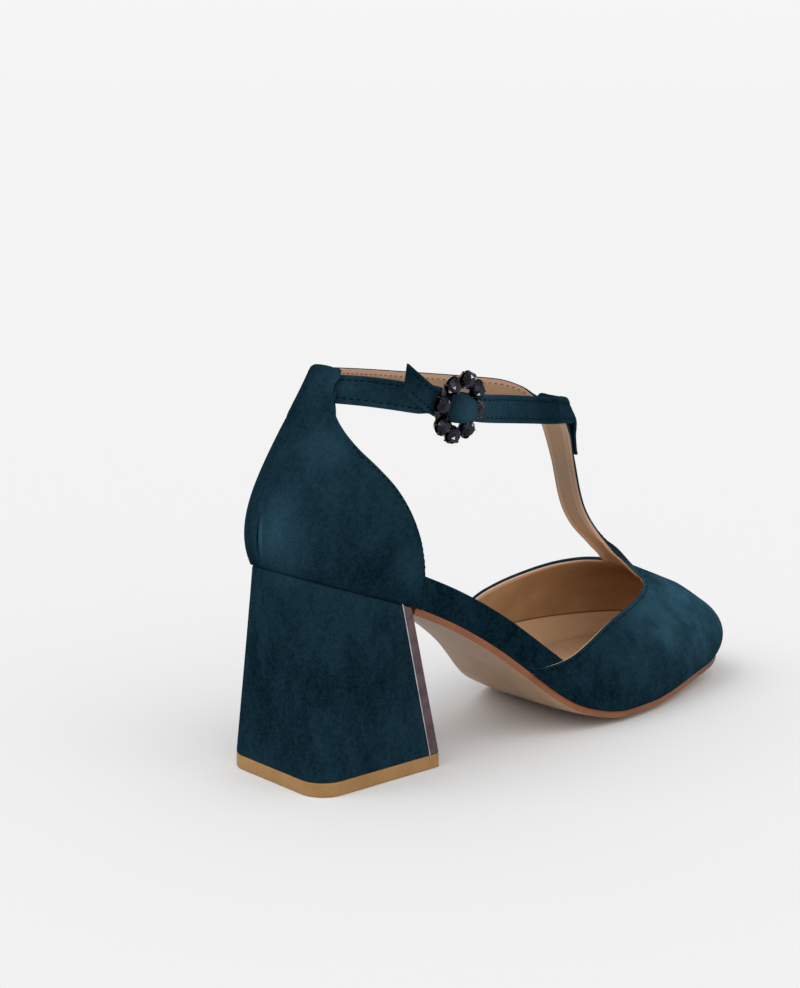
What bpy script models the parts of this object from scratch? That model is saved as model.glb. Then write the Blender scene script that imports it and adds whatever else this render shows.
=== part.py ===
"""Right T-strap pump on a flared block heel: suede upper, ankle strap and jewelled buckle.

Lengths are in millimetres in a frame whose origin is the middle of the heel's tread on the
floor: +X runs to the toe, +Y to the inner (medial) side of the foot and +Z up.
"""

import math
from collections import namedtuple

import bmesh
import bpy
from mathutils import Matrix, Vector

MM = 0.001
JOINT_GAP = 0.3

# Sole, seat and heel
SEAT_Z = 67.4
SEAT_SLOPE = -0.365
BREAST_X = 17.0
OUTSOLE_THICKNESS = 2.6
OUTSOLE_BACK_X = 18.9
INSOLE_THICKNESS = 2.4
INSOLE_INSET = 3.4
LIFT_THICKNESS = 5.2
PLATE_THICKNESS = 4.8
HEEL_TOP_X = 11.8
HEEL_BASE_X = 22.4
HEEL_INSET = 0.4
TREAD_CORNER_RADIUS = 10.0

# Upper
WALL = 2.0
COUNTER_WALL = 1.6
VAMP_PROUD = 0.7
COUNTER_PROUD = 1.0
STRIP_HEIGHT = 11.8
STRIP_LEAN = 0.8
STRIP_BACK_X = 14.0
STRIP_FRONT_X = 99.0
LOOP_WALL = 1.2

# Ankle strap and buckle
STRAP_WIDTH = 10.5
STRAP_THICKNESS = 1.9
CRYSTAL_COUNT = 8
RING_RADIUS = 10.0
CRYSTAL_RADIUS = 3.2
CUP_RADIUS = 3.4
CUP_HEIGHT = 1.5
RING_WIRE = 1.1
BAR_WIRE = 0.75

OutlinePoint = namedtuple("OutlinePoint", "x y")
ProfilePoint = namedtuple("ProfilePoint", "x z")
Column = namedtuple("Column", "foot top_x top_y top_z rise flare reach drop")
StrapPoint = namedtuple("StrapPoint", "x y z lean_x lean_y")
BucklePoint = namedtuple("BucklePoint", "ahead up out")
TongueRow = namedtuple("TongueRow", "x y z half_width")
LoopRow = namedtuple("LoopRow", "along offset")

# Feather line in plan, from the back of the heel along the outer side to the toe and back
OUTLINE = [
    OutlinePoint(-28.4, 0.0),
    OutlinePoint(-24.8, -12.2),
    OutlinePoint(-15.4, -20.4),
    OutlinePoint(0.0, -24.6),
    OutlinePoint(17.0, -25.4),
    OutlinePoint(35.0, -25.2),
    OutlinePoint(52.0, -26.2),
    OutlinePoint(70.0, -30.0),
    OutlinePoint(90.0, -35.3),
    OutlinePoint(110.0, -38.0),
    OutlinePoint(130.0, -37.6),
    OutlinePoint(150.0, -34.6),
    OutlinePoint(168.0, -30.0),
    OutlinePoint(184.6, -25.2),
    OutlinePoint(195.4, -17.4),
    OutlinePoint(200.4, -7.0),
    OutlinePoint(201.4, 3.0),
    OutlinePoint(200.0, 12.8),
    OutlinePoint(194.4, 22.4),
    OutlinePoint(182.6, 30.2),
    OutlinePoint(166.0, 35.4),
    OutlinePoint(148.0, 37.4),
    OutlinePoint(130.0, 36.0),
    OutlinePoint(110.0, 31.0),
    OutlinePoint(90.0, 22.2),
    OutlinePoint(70.0, 15.8),
    OutlinePoint(50.0, 15.4),
    OutlinePoint(33.0, 19.8),
    OutlinePoint(17.0, 24.6),
    OutlinePoint(0.0, 24.4),
    OutlinePoint(-15.4, 20.4),
    OutlinePoint(-24.8, 12.2),
]

# Corners of the heel's tread, from the outer front one round the back
TREAD_CORNERS = [
    OutlinePoint(HEEL_BASE_X, -28.8),
    OutlinePoint(-29.6, -28.2),
    OutlinePoint(-27.0, 26.6),
    OutlinePoint(HEEL_BASE_X, 26.8),
]

# Top of the outsole in side view, ahead of the flat heel seat
PROFILE = [
    ProfilePoint(17.0, 61.2),
    ProfilePoint(30.0, 55.1),
    ProfilePoint(41.0, 49.3),
    ProfilePoint(51.0, 43.2),
    ProfilePoint(60.0, 36.9),
    ProfilePoint(68.5, 30.1),
    ProfilePoint(77.0, 23.0),
    ProfilePoint(85.5, 16.1),
    ProfilePoint(94.0, 10.9),
    ProfilePoint(103.0, 7.4),
    ProfilePoint(111.0, 5.4),
    ProfilePoint(118.0, 4.5),
    ProfilePoint(136.0, 4.5),
    ProfilePoint(146.0, 5.3),
    ProfilePoint(158.0, 6.6),
    ProfilePoint(172.0, 8.0),
    ProfilePoint(186.0, 9.6),
    ProfilePoint(202.0, 12.4),
]

# Sag of the sole's middle below its edges, along the shoe
CAMBER = [
    ProfilePoint(40.0, 0.0),
    ProfilePoint(80.0, 0.8),
    ProfilePoint(110.0, 1.6),
    ProfilePoint(145.0, 1.6),
    ProfilePoint(175.0, 0.9),
    ProfilePoint(202.0, 0.0),
]
CAMBER_FLAT_SHARE = 0.34

# Lift of the waist's inner edge over its outer edge
ARCH = [
    ProfilePoint(17.0, 0.0),
    ProfilePoint(35.0, 2.0),
    ProfilePoint(50.0, 3.4),
    ProfilePoint(68.0, 3.8),
    ProfilePoint(80.0, 2.6),
    ProfilePoint(92.0, 1.0),
    ProfilePoint(106.0, 0.0),
]

# Vamp walls: foot is the place on the feather line, top the place on the topline.
# rise and flare set the handle at the foot, reach and drop the one at the top, all as
# shares of the wall's length.
VAMP = [
    Column(("outer", 73.0), 73.4, -30.9, 28.3, 0.30, 0.02, 0.02, 0.30),
    Column(("outer", 82.0), 81.0, -32.9, 28.2, 0.35, 0.05, 0.04, 0.30),
    Column(("outer", 94.0), 91.5, -33.6, 29.8, 0.38, 0.10, 0.10, 0.32),
    Column(("outer", 108.0), 103.5, -31.8, 33.2, 0.40, 0.14, 0.14, 0.33),
    Column(("outer", 123.0), 117.0, -28.0, 36.6, 0.40, 0.16, 0.20, 0.30),
    Column(("outer", 140.0), 132.0, -22.8, 38.4, 0.38, 0.17, 0.26, 0.26),
    Column(("outer", 157.0), 146.0, -17.0, 39.4, 0.34, 0.17, 0.32, 0.22),
    Column(("outer", 172.0), 155.5, -12.4, 41.4, 0.30, 0.18, 0.37, 0.18),
    Column(("outer", 187.5), 160.6, -8.4, 44.0, 0.26, 0.185, 0.42, 0.17),
    Column(("outer", 196.0), 160.6, -4.6, 47.0, 0.24, 0.18, 0.44, 0.17),
    Column(("toe", 0.0), 159.0, -0.6, 49.2, 0.23, 0.18, 0.45, 0.18),
    Column(("inner", 196.0), 156.5, 3.6, 50.6, 0.24, 0.175, 0.44, 0.18),
    Column(("inner", 186.0), 152.6, 7.6, 51.4, 0.27, 0.17, 0.41, 0.18),
    Column(("inner", 168.0), 145.5, 13.0, 51.6, 0.32, 0.16, 0.36, 0.18),
    Column(("inner", 150.0), 135.5, 19.2, 50.2, 0.36, 0.17, 0.28, 0.22),
    Column(("inner", 132.0), 123.0, 24.0, 47.4, 0.38, 0.17, 0.22, 0.28),
    Column(("inner", 115.0), 109.5, 25.6, 44.6, 0.40, 0.16, 0.16, 0.32),
    Column(("inner", 99.0), 96.0, 24.2, 41.6, 0.40, 0.14, 0.12, 0.33),
    Column(("inner", 85.0), 83.5, 20.2, 36.4, 0.38, 0.10, 0.06, 0.32),
    Column(("inner", 72.0), 72.2, 16.6, 33.6, 0.30, 0.02, 0.02, 0.30),
]
TONGUE_FIRST = 8
TONGUE_LAST = 12

# Strap of the T: outer face up the instep, with the half width of the strap
TONGUE = [
    TongueRow(158.2, 0.0, 49.1, 8.2),
    TongueRow(151.6, 0.0, 52.6, 7.3),
    TongueRow(142.0, 0.0, 60.4, 6.5),
    TongueRow(128.4, 0.0, 77.0, 6.0),
    TongueRow(120.9, -0.9, 97.4, 5.9),
    TongueRow(116.0, -1.9, 110.0, 6.8),
    TongueRow(112.5, -1.6, 117.0, 6.5),
    TongueRow(111.0, -1.6, 121.6, 6.5),
]
TONGUE_SKEW = Vector((-0.47, 1.0, 0.45))
TONGUE_SKEW_LENGTH = 26.0
TONGUE_CROWN = 4.0
TONGUE_CROWN_FROM = 10.0
TONGUE_CROWN_FADE = 25.0

# Fold of the T-strap round the ankle strap: distance up its face and gap from it
TONGUE_LOOP = [
    LoopRow(85.8, -0.9),
    LoopRow(89.8, -0.6),
    LoopRow(91.0, 1.6),
    LoopRow(89.9, 3.3),
    LoopRow(86.0, 3.6),
    LoopRow(79.4, 3.6),
    LoopRow(76.4, 2.3),
    LoopRow(73.0, 0.9),
    LoopRow(65.0, 0.35),
]

# Counter walls, outer half, from the front edge to the middle of the back
COUNTER = [
    Column(("outer", 22.0), 22.0, -26.6, 75.5, 0.40, 0.06, 0.04, 0.30),
    Column(("outer", 16.5), 18.6, -27.9, 86.6, 0.40, 0.10, 0.06, 0.32),
    Column(("outer", 11.0), 14.8, -27.5, 96.0, 0.38, 0.11, 0.08, 0.32),
    Column(("outer", 5.5), 9.6, -26.0, 105.0, 0.36, 0.11, 0.10, 0.32),
    Column(("outer", -1.0), 3.2, -23.2, 113.0, 0.34, 0.12, 0.12, 0.32),
    Column(("outer", -7.0), -2.4, -19.6, 119.6, 0.32, 0.12, 0.12, 0.34),
    Column(("outer", -13.0), -5.8, -15.8, 125.6, 0.31, 0.12, 0.14, 0.36),
    Column(("outer", -18.0), -7.0, -12.2, 131.2, 0.30, 0.12, 0.16, 0.37),
    Column(("outer", -21.8), -5.8, -9.2, 137.0, 0.29, 0.12, 0.17, 0.38),
    Column(("outer", -24.4), -4.0, -7.2, 142.4, 0.28, 0.11, 0.18, 0.38),
    Column(("outer", -26.4), -3.4, -5.4, 145.6, 0.28, 0.11, 0.19, 0.38),
    Column(("outer", -27.8), -4.6, -2.8, 146.4, 0.28, 0.11, 0.20, 0.38),
    Column(("back", 0.0), -5.1, 0.0, 146.5, 0.28, 0.11, 0.20, 0.38),
]

# Sleeve at the top of the counter: distance above its topline and gap inwards from its face
SLEEVE_COLUMNS = 2.0
SLEEVE_LOOP = [
    LoopRow(-4.5, 1.0),
    LoopRow(-0.6, 1.2),
    LoopRow(1.6, 3.8),
    LoopRow(0.0, 6.8),
    LoopRow(-4.0, 7.3),
    LoopRow(-10.6, 7.1),
    LoopRow(-14.2, 5.2),
    LoopRow(-17.6, 1.2),
]

# Ankle strap round the heel and the T. lean tips the strap's upper edge along X and Y for
# each unit of height.
STRAP = [
    StrapPoint(19.0, -25.2, 135.8, 0.10, 0.04),
    StrapPoint(11.0, -21.6, 137.6, 0.22, 0.10),
    StrapPoint(4.6, -16.4, 138.8, 0.34, 0.10),
    StrapPoint(0.6, -10.8, 139.2, 0.44, 0.06),
    StrapPoint(-2.2, -6.2, 139.3, 0.52, 0.02),
    StrapPoint(-4.2, -3.4, 139.2, 0.54, 0.00),
    StrapPoint(-5.2, 0.0, 139.3, 0.54, 0.00),
    StrapPoint(-4.2, 3.4, 139.2, 0.54, 0.00),
    StrapPoint(-2.2, 6.2, 139.1, 0.52, -0.02),
    StrapPoint(0.6, 10.6, 138.8, 0.44, -0.06),
    StrapPoint(5.2, 16.2, 138.2, 0.34, -0.10),
    StrapPoint(12.6, 21.8, 137.0, 0.22, -0.10),
    StrapPoint(25.0, 27.2, 135.0, 0.10, -0.10),
    StrapPoint(42.0, 29.4, 132.5, 0.02, -0.10),
    StrapPoint(60.0, 28.8, 129.8, -0.04, -0.10),
    StrapPoint(78.0, 25.8, 127.2, -0.10, -0.08),
    StrapPoint(94.0, 20.6, 125.0, -0.16, -0.06),
    StrapPoint(104.0, 15.6, 123.5, -0.22, -0.04),
    StrapPoint(110.6, 11.2, 121.0, -0.30, -0.02),
    StrapPoint(113.6, 7.8, 118.4, -0.38, 0.00),
    StrapPoint(114.3, 4.0, 117.0, -0.41, 0.00),
    StrapPoint(114.1, -1.0, 117.1, -0.42, 0.00),
    StrapPoint(114.3, -5.4, 117.1, -0.42, 0.00),
    StrapPoint(114.2, -9.1, 117.4, -0.40, 0.00),
    StrapPoint(111.0, -12.4, 118.4, -0.30, 0.02),
    StrapPoint(104.0, -15.0, 119.9, -0.22, 0.04),
    StrapPoint(94.0, -18.8, 121.7, -0.16, 0.06),
    StrapPoint(78.0, -23.6, 124.6, -0.10, 0.06),
    StrapPoint(62.0, -26.8, 127.2, -0.04, 0.02),
]

# Ends of the strap in the buckle's frame: ahead to the toe, up and out from the ring's plane
STRAP_FIXED_END = [
    BucklePoint(-1.6, 0.1, -4.3),
    BucklePoint(-4.0, 0.9, -5.6),
    BucklePoint(-7.2, 1.7, -7.2),
]
STRAP_TAIL = [
    BucklePoint(19.1, -4.2, -1.6),
    BucklePoint(13.1, -3.1, -2.5),
    BucklePoint(9.0, -2.4, -2.7),
    BucklePoint(4.4, -1.2, -2.3),
    BucklePoint(0.0, -0.4, 1.0),
    BucklePoint(-4.4, 0.2, -2.1),
    BucklePoint(-7.5, 1.5, -2.8),
    BucklePoint(-10.8, 3.4, -3.6),
    BucklePoint(-15.5, 6.8, -4.4),
    BucklePoint(-22.6, 12.0, -5.3),
]

# Buckle on the outer side: ring centre, outward face and the first crystal's angle
BUCKLE_CENTRE = Vector((31.1, -33.0, 132.6))
BUCKLE_OUTWARD = Vector((0.10, -1.0, -0.165))
BUCKLE_FIRST_ANGLE = 13.0
BAR_DEPTH = 2.6
BAR_HALF_SPAN = 6.6

# Colour, roughness and metallic value of each finish
FINISHES = {
    "suede": ((0.010, 0.040, 0.066), 0.9, 0.0),
    "lining": ((0.50, 0.32, 0.19), 0.6, 0.0),
    "sole": ((0.45, 0.28, 0.17), 0.5, 0.0),
    "lift": ((0.40, 0.24, 0.09), 0.55, 0.0),
    "plate": ((0.16, 0.11, 0.12), 0.25, 1.0),
    "gunmetal": ((0.08, 0.07, 0.07), 0.3, 1.0),
    "crystal": ((0.010, 0.010, 0.018), 0.05, 0.0),
}


# Interpolation


def blend_smooth(before, start, end, after, share):
    """Catmull-Rom value between start and end."""
    lead = (end - before) * 0.5
    tail = (after - start) * 0.5
    square = share * share
    cube = square * share
    return (
        start * (2 * cube - 3 * square + 1)
        + lead * (cube - 2 * square + share)
        + end * (3 * square - 2 * cube)
        + tail * (cube - square)
    )


def along(values, position, closed=False):
    """Smooth value at a fractional index of a list of numbers or vectors."""
    count = len(values)
    last = count if closed else count - 1
    index = min(int(position), last - 1)
    share = position - index
    if closed:
        four = [values[(index + step) % count] for step in (-1, 0, 1, 2)]
    else:
        four = [values[index], values[index + 1]]
        before = values[index - 1] if index else values[0] * 2 - values[1]
        after = values[index + 2] if index + 2 < count else values[-1] * 2 - values[-2]
        four = [before, *four, after]
    return blend_smooth(*four, share)


def monotone(points, x):
    """Height at x on a profile, with no overshoot between its points."""
    xs = [point.x for point in points]
    zs = [point.z for point in points]
    slopes = [(zs[i + 1] - zs[i]) / (xs[i + 1] - xs[i]) for i in range(len(xs) - 1)]
    tangents = [slopes[0]]
    for before, after in zip(slopes, slopes[1:]):
        even = 2 * before * after / (before + after) if before * after > 0 else 0.0
        tangents.append(even)
    tangents.append(slopes[-1])
    index = max(i for i in range(len(xs) - 1) if xs[i] <= x or i == 0)
    width = xs[index + 1] - xs[index]
    share = (x - xs[index]) / width
    square = share * share
    cube = square * share
    return (
        zs[index] * (2 * cube - 3 * square + 1)
        + tangents[index] * width * (cube - 2 * square + share)
        + zs[index + 1] * (3 * square - 2 * cube)
        + tangents[index + 1] * width * (cube - square)
    )


class Route:
    """A smooth curve through points, read by the share of its length."""

    SAMPLES = 24

    def __init__(self, points, closed=False):
        self.points = points
        self.closed = closed
        spans = len(points) if closed else len(points) - 1
        self.positions = [i / self.SAMPLES for i in range(spans * self.SAMPLES + 1)]
        dense = [along(points, position, closed) for position in self.positions]
        self.lengths = [0.0]
        for start, end in zip(dense, dense[1:]):
            self.lengths.append(self.lengths[-1] + (end - start).length)
        self.length = self.lengths[-1]

    def position(self, share):
        """Fractional index of the points at a share of the length."""
        target = share * self.length
        low = 0
        high = len(self.lengths) - 1
        while high - low > 1:
            middle = (low + high) // 2
            if self.lengths[middle] <= target:
                low = middle
            else:
                high = middle
        width = self.lengths[high] - self.lengths[low]
        part = (target - self.lengths[low]) / width if width else 0.0
        return self.positions[low] + part * (self.positions[high] - self.positions[low])

    def at(self, share):
        return along(self.points, self.position(share), self.closed)

    def heading(self, share, step=0.002):
        start = self.at(max(0.0, share - step))
        end = self.at(min(1.0, share + step))
        return (end - start).normalized()


# The last: feather line, sole profile and wall columns

FEATHER = Route([Vector((point.x, point.y, 0.0)) for point in OUTLINE], closed=True)


def sole_top(x):
    """Height of the feather line, where the upper meets sole and heel."""
    if x <= BREAST_X:
        return SEAT_Z + SEAT_SLOPE * x
    return monotone(PROFILE, min(x, PROFILE[-1].x))


def camber(x, across):
    """Sag of the sole at x and at a share across it from -1 to 1."""
    depth = monotone(CAMBER, x) if x > CAMBER[0].x else 0.0
    edge = max(0.0, abs(across) - CAMBER_FLAT_SHARE) / (1 - CAMBER_FLAT_SHARE)
    return depth * (1 - edge * edge)


def arch(x, across):
    """Lift of the inner side of the waist at x, across from -1 (outer) to 1 (inner)."""
    inside = ARCH[0].x < x < ARCH[-1].x
    return monotone(ARCH, x) * (1 + across) / 2 if inside else 0.0


def toe_share():
    """Share of the feather line at the foremost point."""
    steps = 800
    return max(range(steps), key=lambda i: FEATHER.at(i / steps).x) / steps


TOE_SHARE = toe_share()


def feather_share(side, x):
    """Share of the feather line at a given x on one side."""
    if side == "toe":
        return TOE_SHARE
    if side == "back":
        return 1.0
    low, high = (0.0, TOE_SHARE) if side == "outer" else (1.0, TOE_SHARE)
    for _ in range(40):
        middle = (low + high) / 2
        if FEATHER.at(middle).x < x:
            low = middle
        else:
            high = middle
    return (low + high) / 2


def outward(share):
    """Plan direction away from the shoe at a share of the feather line."""
    share %= 1.0
    heading = FEATHER.heading(share) if 0.003 < share < 0.997 else Vector((0, -1, 0))
    return Vector((heading.y, -heading.x, 0.0)).normalized()


def feather_point(share, proud=0.0):
    """Point on the feather line, moved outwards by proud."""
    place = FEATHER.at(share % 1.0) + outward(share) * proud
    side = 1.0 if share % 1.0 > TOE_SHARE else -1.0
    return Vector((place.x, place.y, sole_top(place.x) + arch(place.x, side)))


def bezier(start, first, second, end, share):
    rest = 1 - share
    return (
        start * rest**3
        + first * (3 * rest * rest * share)
        + second * (3 * rest * share * share)
        + end * share**3
    )


class Wall:
    """A wall of the upper, lofted through a table of columns."""

    def __init__(self, columns, proud):
        self.proud = proud
        self.feet = [feather_share(*column.foot) for column in columns]
        self.tops = [Vector((c.top_x, c.top_y, c.top_z)) for c in columns]
        self.handles = [(c.rise, c.flare, c.reach, c.drop) for c in columns]

    def point(self, position, height):
        """Point at a fractional column and a share of the wall's height."""
        share = along(self.feet, position)
        foot = feather_point(share, self.proud)
        top = along(self.tops, position)
        numbers = [along([h[i] for h in self.handles], position) for i in range(4)]
        rise, flare, reach, drop = numbers
        away = outward(share)
        span = (top - foot).length
        first = foot + (Vector((0, 0, rise)) + away * flare) * span
        second = top + (away * reach - Vector((0, 0, drop))) * span
        return bezier(foot, first, second, top, height)


def mirrored_columns(columns):
    """The outer half of the counter joined to its reflection on the inner side."""
    other = {"outer": "inner", "back": "back"}
    reflected = [
        column._replace(foot=(other[column.foot[0]], column.foot[1]), top_y=-column.top_y)
        for column in columns[:-1]
    ]
    return reflected + columns[::-1]


# Objects and materials


def make_material(name, finish):
    colour, roughness, metallic = FINISHES[finish]
    material = bpy.data.materials.new(f"{name} {finish}")
    material.use_nodes = True
    shader = material.node_tree.nodes["Principled BSDF"]
    shader.inputs["Base Color"].default_value = (*colour, 1.0)
    shader.inputs["Roughness"].default_value = roughness
    shader.inputs["Metallic"].default_value = metallic
    material.diffuse_color = (*colour, 1.0)
    return material


def clear_scene():
    for obj in list(bpy.data.objects):
        bpy.data.objects.remove(obj)


def new_object(name, bm, collection, finish):
    """Finish a mesh in millimetres as an object in metres, with its own material."""
    bmesh.ops.scale(bm, vec=(MM, MM, MM), verts=bm.verts)
    mesh = bpy.data.meshes.new(name)
    bm.to_mesh(mesh)
    bm.free()
    mesh.shade_smooth()
    mesh.set_sharp_from_angle(angle=math.radians(40))
    mesh.materials.append(make_material(name, finish))
    obj = bpy.data.objects.new(name, mesh)
    collection.objects.link(obj)
    return obj


def grid_mesh(columns, rows, place, keep=None):
    """Sheet of columns by rows, each point set by place(column, row)."""
    bm = bmesh.new()
    bmesh.ops.create_grid(bm, x_segments=columns, y_segments=rows, size=1.0)
    dropped = []
    for vert in bm.verts:
        column = round((vert.co.x + 1) / 2 * columns)
        row = round((vert.co.y + 1) / 2 * rows)
        if keep and not keep(column, row):
            dropped.append(vert)
        else:
            vert.co = place(column, row)
    bmesh.ops.delete(bm, geom=dropped, context="VERTS")
    return bm


def solidify(obj, thickness, offset, even=True):
    shell = obj.modifiers.new("wall", "SOLIDIFY")
    shell.thickness = thickness * MM
    shell.offset = offset
    shell.use_even_offset = even
    shell.use_quality_normals = True
    return obj


def unite(obj, pieces):
    """Join helper pieces into one solid."""
    for piece in pieces:
        union = obj.modifiers.new(piece.name, "BOOLEAN")
        union.operation = "UNION"
        union.solver = "EXACT"
        union.object = piece
        piece.hide_render = True
        piece.display_type = "WIRE"
    return obj


# Sole and heel

PLATE_ROWS = 40
PLATE_COLUMNS = 6
TIP_HALF_WIDTH = 13.0


def sole_sheet(back_x, inset, lift):
    """Sheet across the feather line from back_x, or from the heel's back, to the toe."""
    tip = TIP_HALF_WIDTH / FEATHER.length
    outer_start = feather_share("outer", back_x) if back_x else tip
    inner_start = feather_share("inner", back_x) if back_x else 1 - tip

    def edge(share):
        return FEATHER.at(share % 1.0) - outward(share) * inset

    def bulge(start, end, side):
        """Distance of the feather line from its chord, at a share from start to end."""
        return edge(start + (end - start) * side) - edge(start).lerp(edge(end), side)

    def place(column, row):
        reach = row / PLATE_ROWS
        outer = outer_start + (TOE_SHARE - tip - outer_start) * reach
        inner = inner_start + (TOE_SHARE + tip - inner_start) * reach
        side = 1 - column / PLATE_COLUMNS
        spot = edge(outer).lerp(edge(inner), side)
        spot += bulge(TOE_SHARE - tip, TOE_SHARE + tip, side) * reach**4
        if not back_x:
            spot += bulge(tip, -tip, side) * (1 - reach)**4
        across = 2 * side - 1
        height = sole_top(spot.x) + arch(spot.x, across) - camber(spot.x, across)
        return Vector((spot.x, spot.y, height + lift))

    return grid_mesh(PLATE_COLUMNS, PLATE_ROWS, place)


def make_outsole(collection, finish):
    sheet = sole_sheet(OUTSOLE_BACK_X, 0.0, -JOINT_GAP)
    return solidify(new_object("outsole", sheet, collection, finish), OUTSOLE_THICKNESS, -1.0)


def make_insole(collection, finish):
    sheet = sole_sheet(None, INSOLE_INSET, JOINT_GAP)
    return solidify(new_object("insole", sheet, collection, finish), INSOLE_THICKNESS, 1.0)


def rounded_tread(front_x):
    """Tread outline from its outer front corner round the back to its inner front corner."""
    corners = [Vector((front_x, TREAD_CORNERS[0].y, 0.0))]
    corners += [Vector((corner.x, corner.y, 0.0)) for corner in TREAD_CORNERS[1:-1]]
    corners.append(Vector((front_x, TREAD_CORNERS[-1].y, 0.0)))
    radius = TREAD_CORNER_RADIUS
    points = [corners[0]]
    for index in (1, 2):
        corner = corners[index]
        before = (corners[index - 1] - corner).normalized()
        after = (corners[index + 1] - corner).normalized()
        bisector = (before + after).normalized()
        half = before.angle(after) / 2
        centre = corner + bisector * (radius / math.sin(half))
        start = (corner + before * (radius / math.tan(half)) - centre).normalized()
        end = (corner + after * (radius / math.tan(half)) - centre).normalized()
        steps = 8
        for step in range(steps + 1):
            points.append(centre + start.slerp(end, step / steps) * radius)
    points.append(corners[-1])
    return points


def polyline_at(points, share):
    """Point at a share of a polyline's length."""
    spans = [(end - start).length for start, end in zip(points, points[1:])]
    target = share * sum(spans)
    for start, end, span in zip(points, points[1:], spans):
        if target <= span + 1e-9:
            return start.lerp(end, target / span)
        target -= span
    return points[-1]


HEEL_SIDES = 60
HEEL_WRAP = 48


def heel_ring(points, step):
    """Point of a heel outline: round the back for HEEL_WRAP steps, then across the front."""
    if step <= HEEL_WRAP:
        return polyline_at(points, step / HEEL_WRAP)
    return points[-1].lerp(points[0], (step - HEEL_WRAP) / (HEEL_SIDES - HEEL_WRAP))


def seat_outline(front_x):
    """Feather line round the heel seat, from the outer breast corner to the inner one."""
    start = feather_share("outer", front_x)
    end = feather_share("inner", front_x) - 1.0
    steps = 40
    shares = [start + (end - start) * step / steps for step in range(steps + 1)]
    return [FEATHER.at(share % 1.0) - outward(share % 1.0) * HEEL_INSET for share in shares]


def ruled_block(lower, upper):
    """Solid with straight sides between two rings of HEEL_SIDES points."""
    bm = bmesh.new()
    bmesh.ops.create_cone(
        bm, cap_ends=True, segments=HEEL_SIDES, radius1=1.0, radius2=1.0, depth=2.0
    )
    for vert in bm.verts:
        turn = math.atan2(vert.co.y, vert.co.x) / (2 * math.pi) * HEEL_SIDES
        step = round(-turn) % HEEL_SIDES
        vert.co = lower(step) if vert.co.z < 0 else upper(step)
    return bm


def seat_height(x):
    return SEAT_Z + SEAT_SLOPE * x - JOINT_GAP


def make_heel(collection, finish):
    tread = rounded_tread(HEEL_BASE_X)
    seat = seat_outline(HEEL_TOP_X)

    def lower(step):
        spot = heel_ring(tread, step)
        return Vector((spot.x, spot.y, LIFT_THICKNESS + JOINT_GAP))

    def upper(step):
        spot = heel_ring(seat, step)
        return Vector((spot.x, spot.y, seat_height(spot.x)))

    return new_object("heel_block", ruled_block(lower, upper), collection, finish)


def make_lift(collection, finish):
    front = HEEL_BASE_X + JOINT_GAP + PLATE_THICKNESS
    tread = rounded_tread(front)

    def lower(step):
        return heel_ring(tread, step)

    def upper(step):
        return heel_ring(tread, step) + Vector((0, 0, LIFT_THICKNESS))

    return new_object("heel_top_lift", ruled_block(lower, upper), collection, finish)


def make_plate(collection, finish):
    """Metal plate that covers the breast of the heel."""
    seat = seat_outline(HEEL_TOP_X)
    tread = rounded_tread(HEEL_BASE_X)
    bm = bmesh.new()
    bmesh.ops.create_cube(bm, size=2.0)
    for vert in bm.verts:
        high = vert.co.z > 0
        outline = seat if high else tread
        edge = outline[-1] if vert.co.y > 0 else outline[0]
        x = edge.x + JOINT_GAP + (PLATE_THICKNESS if vert.co.x > 0 else 0.0)
        z = seat_height(x) if high else LIFT_THICKNESS + JOINT_GAP
        vert.co = Vector((x, edge.y, z))
    obj = new_object("heel_breast_plate", bm, collection, finish)
    edge = obj.modifiers.new("edge", "BEVEL")
    edge.width = 0.4 * MM
    edge.segments = 2
    return obj


# Upper

VAMP_COLUMNS = 38
VAMP_ROWS = 9
TONGUE_ROWS = 18
COUNTER_COLUMNS = 36
COUNTER_ROWS = 10


def tongue_route():
    return Route([Vector((row.x, row.y, row.z)) for row in TONGUE])


def tongue_crown(up):
    """Rise of the T-strap's middle over its edges, which fades up the instep."""
    share = min(1.0, max(0.0, (up - TONGUE_CROWN_FROM) / TONGUE_CROWN_FADE))
    return TONGUE_CROWN * (1 - share * share * (3 - 2 * share))


def tongue_point(route, up, across):
    """Point on the T-strap's outer face, up along it and across from -1 to 1."""
    share = min(1.0, up / route.length)
    centre = route.at(share)
    half = along([row.half_width for row in TONGUE], route.position(share))
    fade = max(0.0, 1 - up / TONGUE_SKEW_LENGTH) ** 2
    side = Vector((0, 1, 0)).lerp(TONGUE_SKEW, fade)
    crown = (1 - across * across) * tongue_crown(up)
    return centre + side * (half * across) + tongue_outward(route, share) * crown


def tongue_outward(route, share):
    heading = route.heading(share)
    return Vector((heading.z, 0.0, -heading.x))


def make_vamp(collection, finish):
    """Vamp with the strap of the T cut in one piece with it."""
    wall = Wall(VAMP, VAMP_PROUD)
    route = tongue_route()
    per_row = VAMP_COLUMNS / (len(VAMP) - 1)
    first = round(TONGUE_FIRST * per_row)
    last = round(TONGUE_LAST * per_row)

    def place(column, row):
        if row <= VAMP_ROWS:
            return wall.point(column / per_row, row / VAMP_ROWS)
        up = (row - VAMP_ROWS) / TONGUE_ROWS * route.length
        across = 2 * (column - first) / (last - first) - 1
        return tongue_point(route, up, across)

    def keep(column, row):
        return row <= VAMP_ROWS or first <= column <= last

    sheet = grid_mesh(VAMP_COLUMNS, VAMP_ROWS + TONGUE_ROWS, place, keep)
    return solidify(new_object("upper", sheet, collection, finish), WALL, -1.0)


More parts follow.
